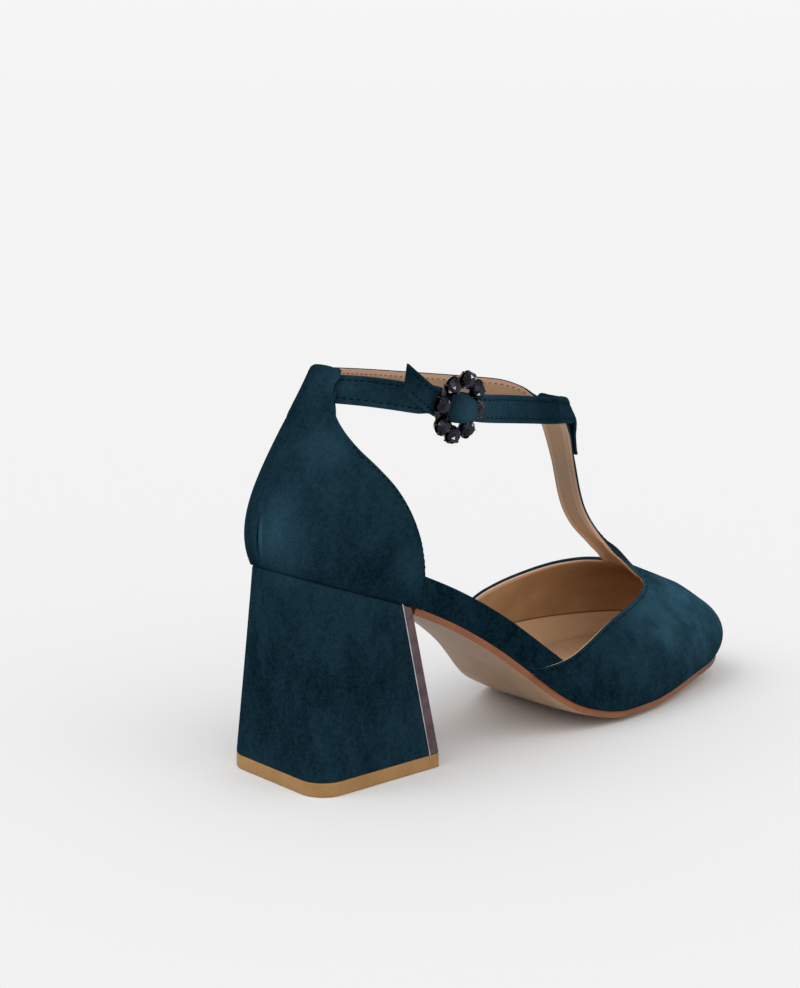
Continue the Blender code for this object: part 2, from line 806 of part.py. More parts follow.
def make_tongue_loop(collection, finish):
    """Fold of the T-strap over the ankle strap, closed on its own face."""
    route = tongue_route()
    rows = Route([Vector((row.along, row.offset, 0.0)) for row in TONGUE_LOOP])
    steps = 20
    columns = 4

    def place(column, row):
        spot = rows.at(row / steps)
        share = min(1.0, spot.x / route.length)
        beyond = max(0.0, spot.x - route.length)
        across = 2 * column / columns - 1
        face = tongue_point(route, min(spot.x, route.length), across)
        return face + tongue_outward(route, share) * spot.y + route.heading(share) * beyond

    sheet = grid_mesh(columns, steps, place)
    return solidify(new_object("tongue_loop", sheet, collection, finish), LOOP_WALL, 0.0)


def counter_wall():
    wall = Wall(mirrored_columns(COUNTER), COUNTER_PROUD)
    wall.feet = [share if share > 0.5 else share + 1.0 for share in wall.feet]
    return wall


def make_counter(collection, finish):
    wall = counter_wall()
    last = len(wall.feet) - 1

    def place(column, row):
        return wall.point(column / COUNTER_COLUMNS * last, row / COUNTER_ROWS)

    sheet = grid_mesh(COUNTER_COLUMNS, COUNTER_ROWS, place)
    return solidify(new_object("counter", sheet, collection, finish), COUNTER_WALL, -1.0, even=False)


def make_sleeve(collection, finish):
    """Fold at the top of the counter that the ankle strap runs through."""
    wall = counter_wall()
    middle = (len(wall.feet) - 1) / 2
    rows = Route([Vector((row.along, row.offset, 0.0)) for row in SLEEVE_LOOP])
    steps = 18
    columns = 8

    def place(column, row):
        position = middle + SLEEVE_COLUMNS * (2 * column / columns - 1)
        spot = rows.at(row / steps)
        span = (wall.point(position, 1.0) - wall.point(position, 0.0)).length
        height = min(1.0, 1.0 + spot.x / span)
        face = wall.point(position, height)
        up = (face - wall.point(position, height - 0.02)).normalized()
        side = (wall.point(position + 0.1, height) - wall.point(position - 0.1, height)).normalized()
        inwards = up.cross(side)
        return face + inwards * spot.y + up * max(0.0, spot.x)

    sheet = grid_mesh(columns, steps, place)
    return solidify(new_object("sleeve", sheet, collection, finish), LOOP_WALL, 0.0)


def make_strip(side, collection, finish):
    """Low wall along the waist between counter and vamp."""
    back = feather_share(side, STRIP_BACK_X)
    front = feather_share(side, STRIP_FRONT_X)
    start, end = (back, front) if side == "outer" else (front, back)
    steps = 26
    rows = 3

    def place(column, row):
        share = start + (end - start) * column / steps
        foot = feather_point(share)
        slope = (sole_top(foot.x + 1) - sole_top(foot.x - 1)) / 2
        up = Vector((-slope, 0.0, 1.0)).normalized()
        height = row / rows
        return foot + up * (STRIP_HEIGHT * height) - outward(share) * (STRIP_LEAN * height)

    sheet = grid_mesh(steps, rows, place)
    return solidify(new_object(f"strip_{side}", sheet, collection, finish), WALL, -1.0)


# Ankle strap and buckle

STRAP_STEPS = 96


def strap_rows():
    """The whole strap from its fixed end round the ankle to the tail."""
    matrix = Matrix.Translation(BUCKLE_CENTRE) @ buckle_matrix()
    up = matrix.to_3x3() @ Vector((0.0, 1.0, 0.0))
    ends = []
    for rows in (STRAP_FIXED_END, STRAP_TAIL):
        spots = [matrix @ Vector((row.ahead, row.up, row.out)) for row in rows]
        ends.append([StrapPoint(*spot, up.x / up.z, up.y / up.z) for spot in spots])
    return ends[0] + STRAP + ends[1]


def make_strap(collection, finish):
    rows = strap_rows()
    centre = Route([Vector((row.x, row.y, row.z)) for row in rows])

    def place(column, row):
        share = column / STRAP_STEPS
        position = centre.position(share)
        lean_x = along([spot.lean_x for spot in rows], position)
        lean_y = along([spot.lean_y for spot in rows], position)
        up = Vector((lean_x, lean_y, 1.0)).normalized()
        return centre.at(share) + up * (STRAP_WIDTH * (row / 2 - 0.5))

    sheet = grid_mesh(STRAP_STEPS, 2, place)
    return solidify(new_object("ankle_strap", sheet, collection, finish), STRAP_THICKNESS, 0.0)


def buckle_matrix():
    """Frame of the buckle: Z outwards, Y up the ring and X to the toe."""
    out = BUCKLE_OUTWARD.normalized()
    ahead = (Vector((1, 0, 0)) - out * out.x).normalized()
    up = out.cross(ahead)
    return Matrix((ahead, up, out)).transposed().to_4x4()


def crystal_spot(index):
    """Centre of a crystal's setting in the buckle's frame."""
    angle = math.radians(90 - BUCKLE_FIRST_ANGLE - 360 / CRYSTAL_COUNT * index)
    return Vector((math.cos(angle), math.sin(angle), 0.0)) * RING_RADIUS


def put_on_buckle(bm):
    matrix = Matrix.Translation(BUCKLE_CENTRE) @ buckle_matrix()
    bmesh.ops.transform(bm, matrix=matrix, verts=bm.verts)


def curve_mesh(name, points, closed, radius, resolution=1):
    """Closed mesh of a round wire along points, in the buckle's frame."""
    curve = bpy.data.curves.new(name, "CURVE")
    curve.dimensions = "3D"
    curve.bevel_depth = radius
    curve.bevel_resolution = resolution
    curve.use_fill_caps = True
    spline = curve.splines.new("POLY")
    spline.points.add(len(points) - 1)
    for target, point in zip(spline.points, points):
        target.co = (*point, 1.0)
    spline.use_cyclic_u = closed
    obj = bpy.data.objects.new(name, curve)
    bpy.context.scene.collection.objects.link(obj)
    graph = bpy.context.evaluated_depsgraph_get()
    mesh = bpy.data.meshes.new_from_object(obj.evaluated_get(graph))
    bm = bmesh.new()
    bm.from_mesh(mesh)
    bmesh.ops.remove_doubles(bm, verts=bm.verts, dist=1e-4)
    bmesh.ops.recalc_face_normals(bm, faces=bm.faces)
    bpy.data.objects.remove(obj)
    return bm


def make_buckle(collection, helpers, finish):
    """Ring with a cup under each crystal and a bar behind it for the strap."""
    steps = 32
    turns = [2 * math.pi * step / steps for step in range(steps)]
    ring = [Vector((math.cos(t), math.sin(t), 0.0)) * RING_RADIUS for t in turns]
    bm = curve_mesh("ring", ring, True, RING_WIRE)
    put_on_buckle(bm)
    frame = new_object("buckle_frame", bm, collection, finish)
    pieces = []
    for index in range(CRYSTAL_COUNT):
        cup = bmesh.new()
        bmesh.ops.create_cone(
            cup, cap_ends=True, segments=10, radius1=CUP_RADIUS * 0.7, radius2=CUP_RADIUS,
            depth=CUP_HEIGHT, matrix=Matrix.Translation(crystal_spot(index)),
        )
        put_on_buckle(cup)
        pieces.append(new_object(f"cup_{index + 1}", cup, helpers, finish))
    bar = [
        Vector((0.0, RING_RADIUS, 0.0)),
        Vector((0.0, BAR_HALF_SPAN, -BAR_DEPTH)),
        Vector((0.0, -BAR_HALF_SPAN, -BAR_DEPTH)),
        Vector((0.0, -RING_RADIUS, 0.0)),
    ]
    wire = curve_mesh("bar", bar, False, BAR_WIRE)
    put_on_buckle(wire)
    pieces.append(new_object("bar", wire, helpers, finish))
    return unite(frame, pieces)


def make_crystal(index, collection, finish):
    """Round stone with eight bezels, turned from its profile."""
    base = CUP_HEIGHT / 2 + JOINT_GAP
    profile = [
        (0.0, base + 3.0),
        (CRYSTAL_RADIUS * 0.55, base + 3.0),
        (CRYSTAL_RADIUS, base + 1.5),
        (CRYSTAL_RADIUS, base + 1.0),
        (CRYSTAL_RADIUS * 0.62, base),
        (0.0, base),
    ]
    bm = bmesh.new()
    verts = [bm.verts.new((radius, 0.0, height)) for radius, height in profile]
    edges = [bm.edges.new(pair) for pair in zip(verts, verts[1:])]
    bmesh.ops.spin(
        bm, geom=verts + edges, axis=(0, 0, 1), cent=(0, 0, 0), steps=8,
        angle=2 * math.pi, use_merge=True,
    )
    bmesh.ops.remove_doubles(bm, verts=bm.verts, dist=1e-4)
    bmesh.ops.recalc_face_normals(bm, faces=bm.faces)
    bmesh.ops.translate(bm, vec=crystal_spot(index), verts=bm.verts)
    put_on_buckle(bm)
    return new_object(f"crystal_{index + 1}", bm, collection, finish)


def main():
    clear_scene()
    parts = bpy.data.collections.new("t_strap_pump")
    helpers = bpy.data.collections.new("joined_pieces")
    for collection in (parts, helpers):
        bpy.context.scene.collection.children.link(collection)
    make_outsole(parts, "sole")
    make_insole(parts, "lining")
    make_heel(parts, "suede")
    make_plate(parts, "plate")
    make_lift(parts, "lift")
    upper = make_vamp(parts, "suede")
    unite(upper, [
        make_strip("outer", helpers, "suede"),
        make_strip("inner", helpers, "suede"),
        make_counter(helpers, "suede"),
        make_sleeve(helpers, "suede"),
        make_tongue_loop(helpers, "suede"),
    ])
    make_strap(parts, "suede")
    make_buckle(parts, helpers, "gunmetal")
    for index in range(CRYSTAL_COUNT):
        make_crystal(index, parts, "crystal")


main()
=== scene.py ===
"""Looks of the right T-strap pump: suede, lining, stitching, buckle, floor, light and camera.

Lengths are in millimetres in the part's own frame: +X to the toe, +Y to the inner side of
the foot, +Z up. They become metres when a piece is made.
"""

import math
from bisect import bisect_right
from collections import namedtuple

import bmesh
import bpy
from mathutils import Matrix, Vector
from mathutils.bvhtree import BVHTree
from mathutils.kdtree import KDTree


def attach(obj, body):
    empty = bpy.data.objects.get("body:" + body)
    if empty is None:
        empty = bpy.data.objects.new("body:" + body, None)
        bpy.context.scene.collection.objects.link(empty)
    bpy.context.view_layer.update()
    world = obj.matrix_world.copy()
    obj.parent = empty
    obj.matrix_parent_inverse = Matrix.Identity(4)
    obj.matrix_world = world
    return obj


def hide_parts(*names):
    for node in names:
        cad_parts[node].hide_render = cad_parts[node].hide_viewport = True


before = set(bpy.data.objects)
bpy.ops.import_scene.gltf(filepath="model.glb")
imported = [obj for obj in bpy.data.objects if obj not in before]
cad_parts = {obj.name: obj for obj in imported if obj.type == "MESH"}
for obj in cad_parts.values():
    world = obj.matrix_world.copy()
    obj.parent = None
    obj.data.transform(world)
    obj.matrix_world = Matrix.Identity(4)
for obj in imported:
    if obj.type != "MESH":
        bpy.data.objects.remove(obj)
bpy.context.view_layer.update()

MM = 0.001
JOINT_GAP = 0.05

# Sole, seat and heel
SEAT_Z = 67.4
SEAT_SLOPE = -0.365
BREAST_X = 17.0
OUTSOLE_THICKNESS = 2.6
OUTSOLE_BACK_X = 18.9
INSOLE_THICKNESS = 2.4
INSOLE_INSET = 1.9
LIFT_THICKNESS = 5.2
PLATE_THICKNESS = 4.8
HEEL_TOP_X = 11.8
HEEL_BASE_X = 22.4
HEEL_INSET = -0.3
TREAD_CORNER_RADIUS = 10.0
BEAD_WIRE = 0.26
BEAD_PROUD = 0.05
SOLE_ROUNDING = 0.45
SOCK_ROUNDING = 0.5
HEEL_ROUNDING = 0.7
PLATE_ROUNDING = 0.6
LIFT_ROUNDING = 0.5

# Upper
SUEDE_WALL = 1.1
LINING_WALL = 0.7
LINING_DEPTH = 1.15
LINING_RISE = 0.4
VAMP_PROUD = 0.7
COUNTER_PROUD = 1.0
STRIP_HEIGHT = 11.8
STRIP_LEAN = 0.8
STRIP_BACK_X = 14.0
STRIP_FRONT_X = 99.0
STRIP_BULGE = 0.5
STRIP_ROLL = 0.25
STRIP_ROLL_REACH = 1.2

# Edge of a sewn panel: rolled cut edge, pressed stitch groove and the swell between them
EDGE_ROLL = 0.30
EDGE_ROLL_REACH = 0.9
GROOVE_DEPTH = 0.22
GROOVE_HALF_WIDTH = 0.5
SWELL_HEIGHT = 0.10
SWELL_INSET = 1.1

# Stitching
STITCH_INSET = 2.0
STITCH_PITCH = 2.5
STITCH_LENGTH = 1.7
STITCH_WIDTH = 0.5
STITCH_HALF_HEIGHT = STITCH_WIDTH * 0.42
STITCH_LIFT = 0.04
RAW_EDGE_DEPTH = 0.75
RAW_EDGE_WIRE = 0.32

# Ankle strap and buckle
STRAP_WIDTH = 10.5
CRYSTAL_COUNT = 8
RING_RADIUS = 10.0
CRYSTAL_RADIUS = 3.2
CRYSTAL_HEIGHT = 3.0
CUP_RADIUS = 3.4
CUP_FOOT_RADIUS = CUP_RADIUS * 0.7
CUP_HEIGHT = 1.5
STONE_BASE = CUP_HEIGHT / 2 + JOINT_GAP
CLAWS = 4
CLAW_WIRE = 0.34
CLAW_REACH = CRYSTAL_RADIUS + CLAW_WIRE * 0.7
CLAW_FOOT = CUP_HEIGHT * 0.2
RING_WIRE = 1.1
BAR_WIRE = 0.75
BAR_DEPTH = 2.6
BAR_HALF_SPAN = 6.6
PILLOW_OUT = 6.4
PILLOW_REACH = 6.0
PILLOW_END_POWER = 10
PILLOW_SIDE_POWER = 6
PINCH_SHARE = 0.17
PINCH_REACH = 16.0
PINCH_CENTRE = Vector((114.2, -2.0, 117.4))
BUCKLE_CENTRE = Vector((31.1, -33.0, 132.6))
BUCKLE_OUTWARD = Vector((0.10, -1.0, -0.165))
BUCKLE_FIRST_ANGLE = 13.0

Column = namedtuple("Column", "side foot_x top_x top_y top_z rise flare reach drop")
StrapPoint = namedtuple("StrapPoint", "x y z lean_x lean_y")
BucklePoint = namedtuple("BucklePoint", "ahead up out")
TongueRow = namedtuple("TongueRow", "x y z half_width")
LoopRow = namedtuple("LoopRow", "along offset")
SectionPoint = namedtuple("SectionPoint", "across out")
Crease = namedtuple("Crease", "start start_height end end_height depth width")
ToneZone = namedtuple("ToneZone", "x y z reach_x reach_y reach_z tone")


def table(kind, rows):
    """Rows of plain numbers as named rows."""
    return [kind(*row) for row in rows]


# Feather line in plan, x and y, from the back of the heel along the outer side to the toe and back
OUTLINE = [
    (-28.4, 0.0), (-24.8, -12.2), (-15.4, -20.4), (0.0, -24.6), (17.0, -25.4), (35.0, -25.2),
    (52.0, -26.2), (70.0, -30.0), (90.0, -35.3), (110.0, -38.0), (130.0, -37.6), (150.0, -34.6),
    (168.0, -30.0), (184.6, -25.2), (195.4, -17.4), (200.4, -7.0), (201.4, 3.0), (200.0, 12.8),
    (194.4, 22.4), (182.6, 30.2), (166.0, 35.4), (148.0, 37.4), (130.0, 36.0), (110.0, 31.0),
    (90.0, 22.2), (70.0, 15.8), (50.0, 15.4), (33.0, 19.8), (17.0, 24.6), (0.0, 24.4),
    (-15.4, 20.4), (-24.8, 12.2),
]

# Heel's tread: rear corners, outer one first, and the sides of its front corners
TREAD_REAR = [(-29.6, -28.2), (-27.0, 26.6)]
TREAD_FRONT_Y = (-28.8, 26.8)

# Top of the outsole in side view, x and z, ahead of the flat heel seat
PROFILE = [
    (17.0, 61.2), (30.0, 55.1), (41.0, 49.3), (51.0, 43.2), (60.0, 36.9), (68.5, 30.1),
    (77.0, 23.0), (85.5, 16.1), (94.0, 10.9), (103.0, 7.4), (111.0, 5.4), (118.0, 4.5),
    (136.0, 4.5), (146.0, 5.3), (158.0, 6.6), (172.0, 8.0), (186.0, 9.6), (202.0, 12.4),
]

# Sag of the sole's middle below its edges, along the shoe
CAMBER = [
    (40.0, 0.0), (80.0, 0.8), (110.0, 1.6), (145.0, 1.6), (175.0, 0.9), (202.0, 0.0),
]
CAMBER_FLAT_SHARE = 0.34

# Lift of the waist's inner edge over its outer edge
ARCH = [
    (17.0, 0.0), (35.0, 2.0), (50.0, 3.4), (68.0, 3.8), (80.0, 2.6), (92.0, 1.0), (106.0, 0.0),
]

# Vamp walls: foot_x gives the place on the feather line, top the place on the topline.
# rise and flare set the handle at the foot, reach and drop the one at the top, all as
# shares of the wall's length.
VAMP = table(Column, [
    ("outer", 73.0, 73.4, -30.9, 28.3, 0.30, 0.02, 0.02, 0.30),
    ("outer", 82.0, 81.0, -32.9, 28.2, 0.35, 0.05, 0.04, 0.30),
    ("outer", 94.0, 91.5, -33.6, 29.8, 0.38, 0.10, 0.10, 0.32),
    ("outer", 108.0, 103.5, -31.8, 33.2, 0.40, 0.14, 0.14, 0.33),
    ("outer", 123.0, 117.0, -28.0, 36.6, 0.40, 0.16, 0.20, 0.30),
    ("outer", 140.0, 132.0, -22.8, 38.4, 0.38, 0.17, 0.26, 0.26),
    ("outer", 157.0, 146.0, -17.0, 39.4, 0.34, 0.17, 0.32, 0.22),
    ("outer", 172.0, 155.5, -12.4, 41.4, 0.30, 0.18, 0.37, 0.18),
    ("outer", 187.5, 160.6, -8.4, 44.0, 0.26, 0.185, 0.42, 0.17),
    ("outer", 196.0, 160.6, -4.6, 47.0, 0.24, 0.18, 0.44, 0.17),
    ("toe", 0.0, 159.0, -0.6, 49.2, 0.23, 0.18, 0.45, 0.18),
    ("inner", 196.0, 156.5, 3.6, 50.6, 0.24, 0.175, 0.44, 0.18),
    ("inner", 186.0, 152.6, 7.6, 51.4, 0.27, 0.17, 0.41, 0.18),
    ("inner", 168.0, 145.5, 13.0, 51.6, 0.32, 0.16, 0.36, 0.18),
    ("inner", 150.0, 135.5, 19.2, 50.2, 0.36, 0.17, 0.28, 0.22),
    ("inner", 132.0, 123.0, 24.0, 47.4, 0.38, 0.17, 0.22, 0.28),
    ("inner", 115.0, 109.5, 25.6, 44.6, 0.40, 0.16, 0.16, 0.32),
    ("inner", 99.0, 96.0, 24.2, 41.6, 0.40, 0.14, 0.12, 0.33),
    ("inner", 85.0, 83.5, 20.2, 36.4, 0.38, 0.10, 0.06, 0.32),
    ("inner", 72.0, 72.2, 16.6, 33.6, 0.30, 0.02, 0.02, 0.30),
])
TONGUE_FIRST = 8
TONGUE_LAST = 12

# Strap of the T: outer face up the instep, with the half width of the strap
TONGUE = table(TongueRow, [
    (158.2, 0.0, 49.1, 8.2), (151.6, 0.0, 52.6, 7.3), (142.0, 0.0, 60.4, 6.5),
    (128.4, 0.0, 77.0, 6.0), (120.9, -0.9, 97.4, 5.9), (116.0, -1.9, 110.0, 6.8),
    (112.5, -1.6, 117.0, 6.5), (111.4, -1.6, 120.4, 6.5),
])
TONGUE_SKEW = Vector((-0.47, 1.0, 0.45))
TONGUE_SKEW_LENGTH = 26.0
TONGUE_CROWN = 4.0
TONGUE_CROWN_FROM = 10.0
TONGUE_CROWN_FADE = 25.0

# Fold of the T-strap round the ankle strap: distance up its face and gap from it
TONGUE_LOOP = table(LoopRow, [
    (85.8, -0.4), (88.4, -0.1), (89.6, 1.5), (88.4, 3.2), (85.5, 3.6), (79.4, 3.6), (76.4, 2.6),
    (73.0, 1.5), (65.0, 0.95),
])

# Counter walls, outer half, from the front edge to the middle of the back
COUNTER = table(Column, [
    ("outer", 22.0, 22.0, -26.6, 75.5, 0.40, 0.06, 0.04, 0.30),
    ("outer", 16.5, 18.6, -27.9, 86.6, 0.40, 0.10, 0.06, 0.32),
    ("outer", 11.0, 14.8, -27.5, 96.0, 0.38, 0.11, 0.08, 0.32),
    ("outer", 5.5, 9.6, -26.0, 105.0, 0.36, 0.11, 0.10, 0.32),
    ("outer", -1.0, 3.2, -23.2, 113.0, 0.34, 0.12, 0.12, 0.32),
    ("outer", -7.0, -2.4, -19.6, 119.6, 0.32, 0.12, 0.12, 0.34),
    ("outer", -13.0, -5.8, -15.8, 125.6, 0.31, 0.12, 0.14, 0.36),
    ("outer", -18.0, -7.0, -12.2, 131.2, 0.30, 0.12, 0.16, 0.37),
    ("outer", -21.8, -5.8, -9.2, 137.0, 0.29, 0.12, 0.17, 0.38),
    ("outer", -24.4, -4.0, -7.2, 142.4, 0.28, 0.11, 0.18, 0.38),
    ("outer", -26.4, -3.4, -5.4, 145.6, 0.28, 0.11, 0.19, 0.38),
    ("outer", -27.8, -4.6, -2.8, 146.4, 0.28, 0.11, 0.20, 0.38),
    ("back", 0.0, -5.1, 0.0, 146.5, 0.28, 0.11, 0.20, 0.38),
])

# Flare of the sleeve's corners along the strap, and where it starts and is full
SLEEVE_FLARE = Vector((3.5, 4.7, -0.9))
SLEEVE_FLARE_FROM = Vector((0.0, 1.0, 140.0))
SLEEVE_FLARE_FULL = Vector((0.0, 7.0, 148.5))

# Fold at the top of the counter: distance above its topline and gap inwards from its face
SLEEVE_COLUMNS = 2
SLEEVE_FOLD = table(LoopRow, [
    (0.0, 0.0), (1.3, 0.9), (2.0, 2.8), (1.8, 5.0), (0.4, 7.0), (-4.0, 7.9), (-10.6, 7.7),
    (-14.2, 5.8), (-16.8, 2.6),
])

# Soft troughs, and ridges with a depth below 0, as places on the counter's columns and heights
COUNTER_CREASES = table(Crease, [
    (12.0, 0.12, 12.0, 0.36, 0.55, 0.7), (12.35, 0.10, 12.35, 0.38, -0.28, 1.3),
    (11.65, 0.10, 11.65, 0.38, -0.20, 1.3), (10.0, 0.80, 14.5, 0.77, 0.35, 3.0),
    (16.0, 0.30, 22.5, 0.22, 0.30, 4.0), (17.0, 0.62, 20.5, 0.42, -0.25, 5.0),
])
VAMP_CREASES = table(Crease, [
    (4.5, 0.62, 7.8, 0.80, 0.35, 3.0), (6.0, 0.30, 9.4, 0.52, 0.30, 4.0),
    (8.6, 0.82, 9.8, 0.60, -0.30, 3.5), (2.5, 0.40, 5.0, 0.30, 0.25, 3.5),
    (12.5, 0.60, 15.0, 0.40, 0.30, 4.0),
])

# Ankle strap round the heel and the T. lean tips the strap's upper edge along X and Y for
# each unit of height.
STRAP = table(StrapPoint, [
    (19.0, -25.2, 135.8, 0.10, 0.04), (11.0, -21.6, 137.6, 0.22, 0.10),
    (4.6, -16.4, 138.8, 0.34, 0.10), (0.6, -10.8, 139.2, 0.44, 0.06),
    (-2.2, -6.2, 139.3, 0.52, 0.02), (-4.2, -3.4, 139.2, 0.54, 0.00),
    (-5.2, 0.0, 139.3, 0.54, 0.00), (-4.2, 3.4, 139.2, 0.54, 0.00), (-2.2, 6.2, 139.1, 0.52, -0.02),
    (0.6, 10.6, 138.8, 0.44, -0.06), (5.2, 16.2, 138.2, 0.34, -0.10),
    (12.6, 21.8, 137.0, 0.22, -0.10), (25.0, 27.2, 135.0, 0.10, -0.10),
    (42.0, 29.4, 132.5, 0.02, -0.10), (60.0, 28.8, 129.8, -0.04, -0.10),
    (78.0, 25.8, 127.2, -0.10, -0.08), (94.0, 20.6, 125.0, -0.16, -0.06),
    (104.0, 15.6, 123.5, -0.22, -0.04), (110.6, 11.2, 121.0, -0.30, -0.02),
    (113.6, 7.8, 118.4, -0.38, 0.00), (114.3, 4.0, 117.2, -0.41, 0.00),
    (114.1, -1.0, 117.3, -0.42, 0.00), (114.3, -5.4, 117.4, -0.42, 0.00),
    (114.2, -9.1, 117.8, -0.40, 0.00), (111.0, -12.4, 118.4, -0.30, 0.02),
    (104.0, -15.0, 119.9, -0.22, 0.04), (94.0, -18.8, 121.7, -0.16, 0.06),
    (78.0, -23.6, 124.6, -0.10, 0.06), (62.0, -26.8, 127.2, -0.04, 0.02),
])

# Ends of the strap in the buckle's frame: ahead to the toe, up and out from the ring's plane
STRAP_FIXED_END = table(BucklePoint, [
    (-1.6, 0.1, -4.3), (-4.0, 0.9, -5.6), (-7.2, 1.7, -7.2),
])
STRAP_TAIL = table(BucklePoint, [
    (19.1, -4.2, -1.6), (13.1, -3.1, -2.5), (9.0, -2.4, -2.7), (4.4, -1.2, -2.3), (0.0, -0.4, 1.0),
    (-4.4, 0.2, -2.1), (-7.5, 1.5, -2.8), (-10.8, 3.4, -3.6), (-15.5, 6.8, -4.4),
    (-22.6, 12.0, -5.3),
])

# Half of the strap's section, outer face and back: share of the half width and distance out
# from the middle, with the stitch line pressed in
STRAP_HALF_FACE = [
    (-1.00, -0.40), (-1.00, 0.20), (-0.97, 0.55), (-0.89, 0.76), (-0.77, 0.72), (-0.68, 0.50),
    (-0.60, 0.50), (-0.51, 0.74), (-0.36, 0.92), (-0.15, 1.02),
]
STRAP_HALF_BACK = [(0.97, -0.78), (0.88, -0.92), (0.30, -0.95)]
STRAP_STITCH_ACROSS = 0.64
STRAP_STITCH_OUT = 0.50
STRAP_STITCH_BACK = -0.95

# Claw of a cup: distance inwards from its foot and height over the stone's base
CLAW_PATH = [(0.0, 1.2), (0.35, 1.9), (0.95, 2.3)]


# Interpolation


def hermite(start, lead, end, tail, share):
    """Value between start and end, which it leaves and meets at the slopes lead and tail."""
    square = share * share
    cube = square * share
    return (
        start * (2 * cube - 3 * square + 1)
        + lead * (cube - 2 * square + share)
        + end * (3 * square - 2 * cube)
        + tail * (cube - square)
    )


def along(values, position, closed=False):
    """Smooth value at a fractional index of a list of numbers or vectors."""
    count = len(values)
    last = count if closed else count - 1
    index = min(int(position), last - 1)
    if closed:
        before, start, end, after = (values[(index + step) % count] for step in (-1, 0, 1, 2))
    else:
        start, end = values[index:index + 2]
        before = values[index - 1] if index else start * 2 - end
        after = values[index + 2] if index + 2 < count else end * 2 - start
    return hermite(start, (end - before) * 0.5, end, (after - start) * 0.5, position - index)


def monotone(points, x):
    """Height at x on a profile, with no overshoot between its points and level past its ends."""
    xs, zs = zip(*points)
    x = min(max(x, xs[0]), xs[-1])
    slopes = [(zs[i + 1] - zs[i]) / (xs[i + 1] - xs[i]) for i in range(len(xs) - 1)]
    tangents = [slopes[0]]
    for before, after in zip(slopes, slopes[1:]):
        even = 2 * before * after / (before + after) if before * after > 0 else 0.0
        tangents.append(even)
    tangents.append(slopes[-1])
    index = max(i for i in range(len(xs) - 1) if xs[i] <= x)
    width = xs[index + 1] - xs[index]
    lead = tangents[index] * width
    tail = tangents[index + 1] * width
    return hermite(zs[index], lead, zs[index + 1], tail, (x - xs[index]) / width)


def ease(value, low, high):
    """0 below low, 1 above high and a soft step between."""
    share = min(1.0, max(0.0, (value - low) / (high - low)))
    return share * share * (3 - 2 * share)


class Route:
    """A smooth curve through points, read by the share of its length."""

    SAMPLES = 24

    def __init__(self, points, closed=False):
        self.points = points
        self.closed = closed
        spans = len(points) if closed else len(points) - 1
        self.positions = [i / self.SAMPLES for i in range(spans * self.SAMPLES + 1)]
        dense = [along(points, position, closed) for position in self.positions]
        self.lengths = [0.0]
        for start, end in zip(dense, dense[1:]):
            self.lengths.append(self.lengths[-1] + (end - start).length)
        self.length = self.lengths[-1]

    def position(self, share):
        """Fractional index of the points at a share of the length."""
        target = share * self.length
        low = min(max(bisect_right(self.lengths, target) - 1, 0), len(self.lengths) - 2)
        width = self.lengths[low + 1] - self.lengths[low]
        part = (target - self.lengths[low]) / width if width else 0.0
        return self.positions[low] + part * (self.positions[low + 1] - self.positions[low])

    def at(self, share):
        return along(self.points, self.position(share), self.closed)

    def heading(self, share, step=0.002):
        start = self.at(max(0.0, share - step))
        end = self.at(min(1.0, share + step))
        return (end - start).normalized()


# The last: feather line, sole profile and wall columns

FEATHER = Route([Vector((*point, 0.0)) for point in OUTLINE], closed=True)


def sole_top(x):
    """Height of the feather line, where the upper meets sole and heel."""
    if x <= BREAST_X:
        return SEAT_Z + SEAT_SLOPE * x
    return monotone(PROFILE, x)


def camber(x, across):
    """Sag of the sole at x and at a share across it from -1 to 1."""
    edge = max(0.0, abs(across) - CAMBER_FLAT_SHARE) / (1 - CAMBER_FLAT_SHARE)
    return monotone(CAMBER, x) * (1 - edge * edge)


def arch(x, across):
    """Lift of the inner side of the waist at x, across from -1 (outer) to 1 (inner)."""
    return monotone(ARCH, x) * (1 + across) / 2


TOE_STEPS = 800
TOE_SHARE = max(range(TOE_STEPS), key=lambda step: FEATHER.at(step / TOE_STEPS).x) / TOE_STEPS
BACK_SHARE = 0.003
HALVINGS = 40


def feather_share(side, x):
    """Share of the feather line at a given x on one side."""
    if side == "toe":
        return TOE_SHARE
    if side == "back":
        return 1.0
    low, high = (0.0, TOE_SHARE) if side == "outer" else (1.0, TOE_SHARE)
    for _ in range(HALVINGS):
        middle = (low + high) / 2
        if FEATHER.at(middle).x < x:
            low = middle
        else:
            high = middle
    return (low + high) / 2


def outward(share):
    """Plan direction away from the shoe at a share of the feather line."""
    share %= 1.0
    inside = BACK_SHARE < share < 1 - BACK_SHARE
    heading = FEATHER.heading(share) if inside else Vector((0, -1, 0))
    return Vector((heading.y, -heading.x, 0.0)).normalized()


def feather_point(share, proud=0.0):
    """Point on the feather line, moved outwards by proud."""
    place = FEATHER.at(share % 1.0) + outward(share) * proud
    side = 1.0 if share % 1.0 > TOE_SHARE else -1.0
    return Vector((place.x, place.y, sole_top(place.x) + arch(place.x, side)))


def bezier(start, first, second, end, share):
    rest = 1 - share
    return (
        start * rest**3
        + first * (3 * rest * rest * share)
        + second * (3 * rest * share * share)
        + end * share**3
    )


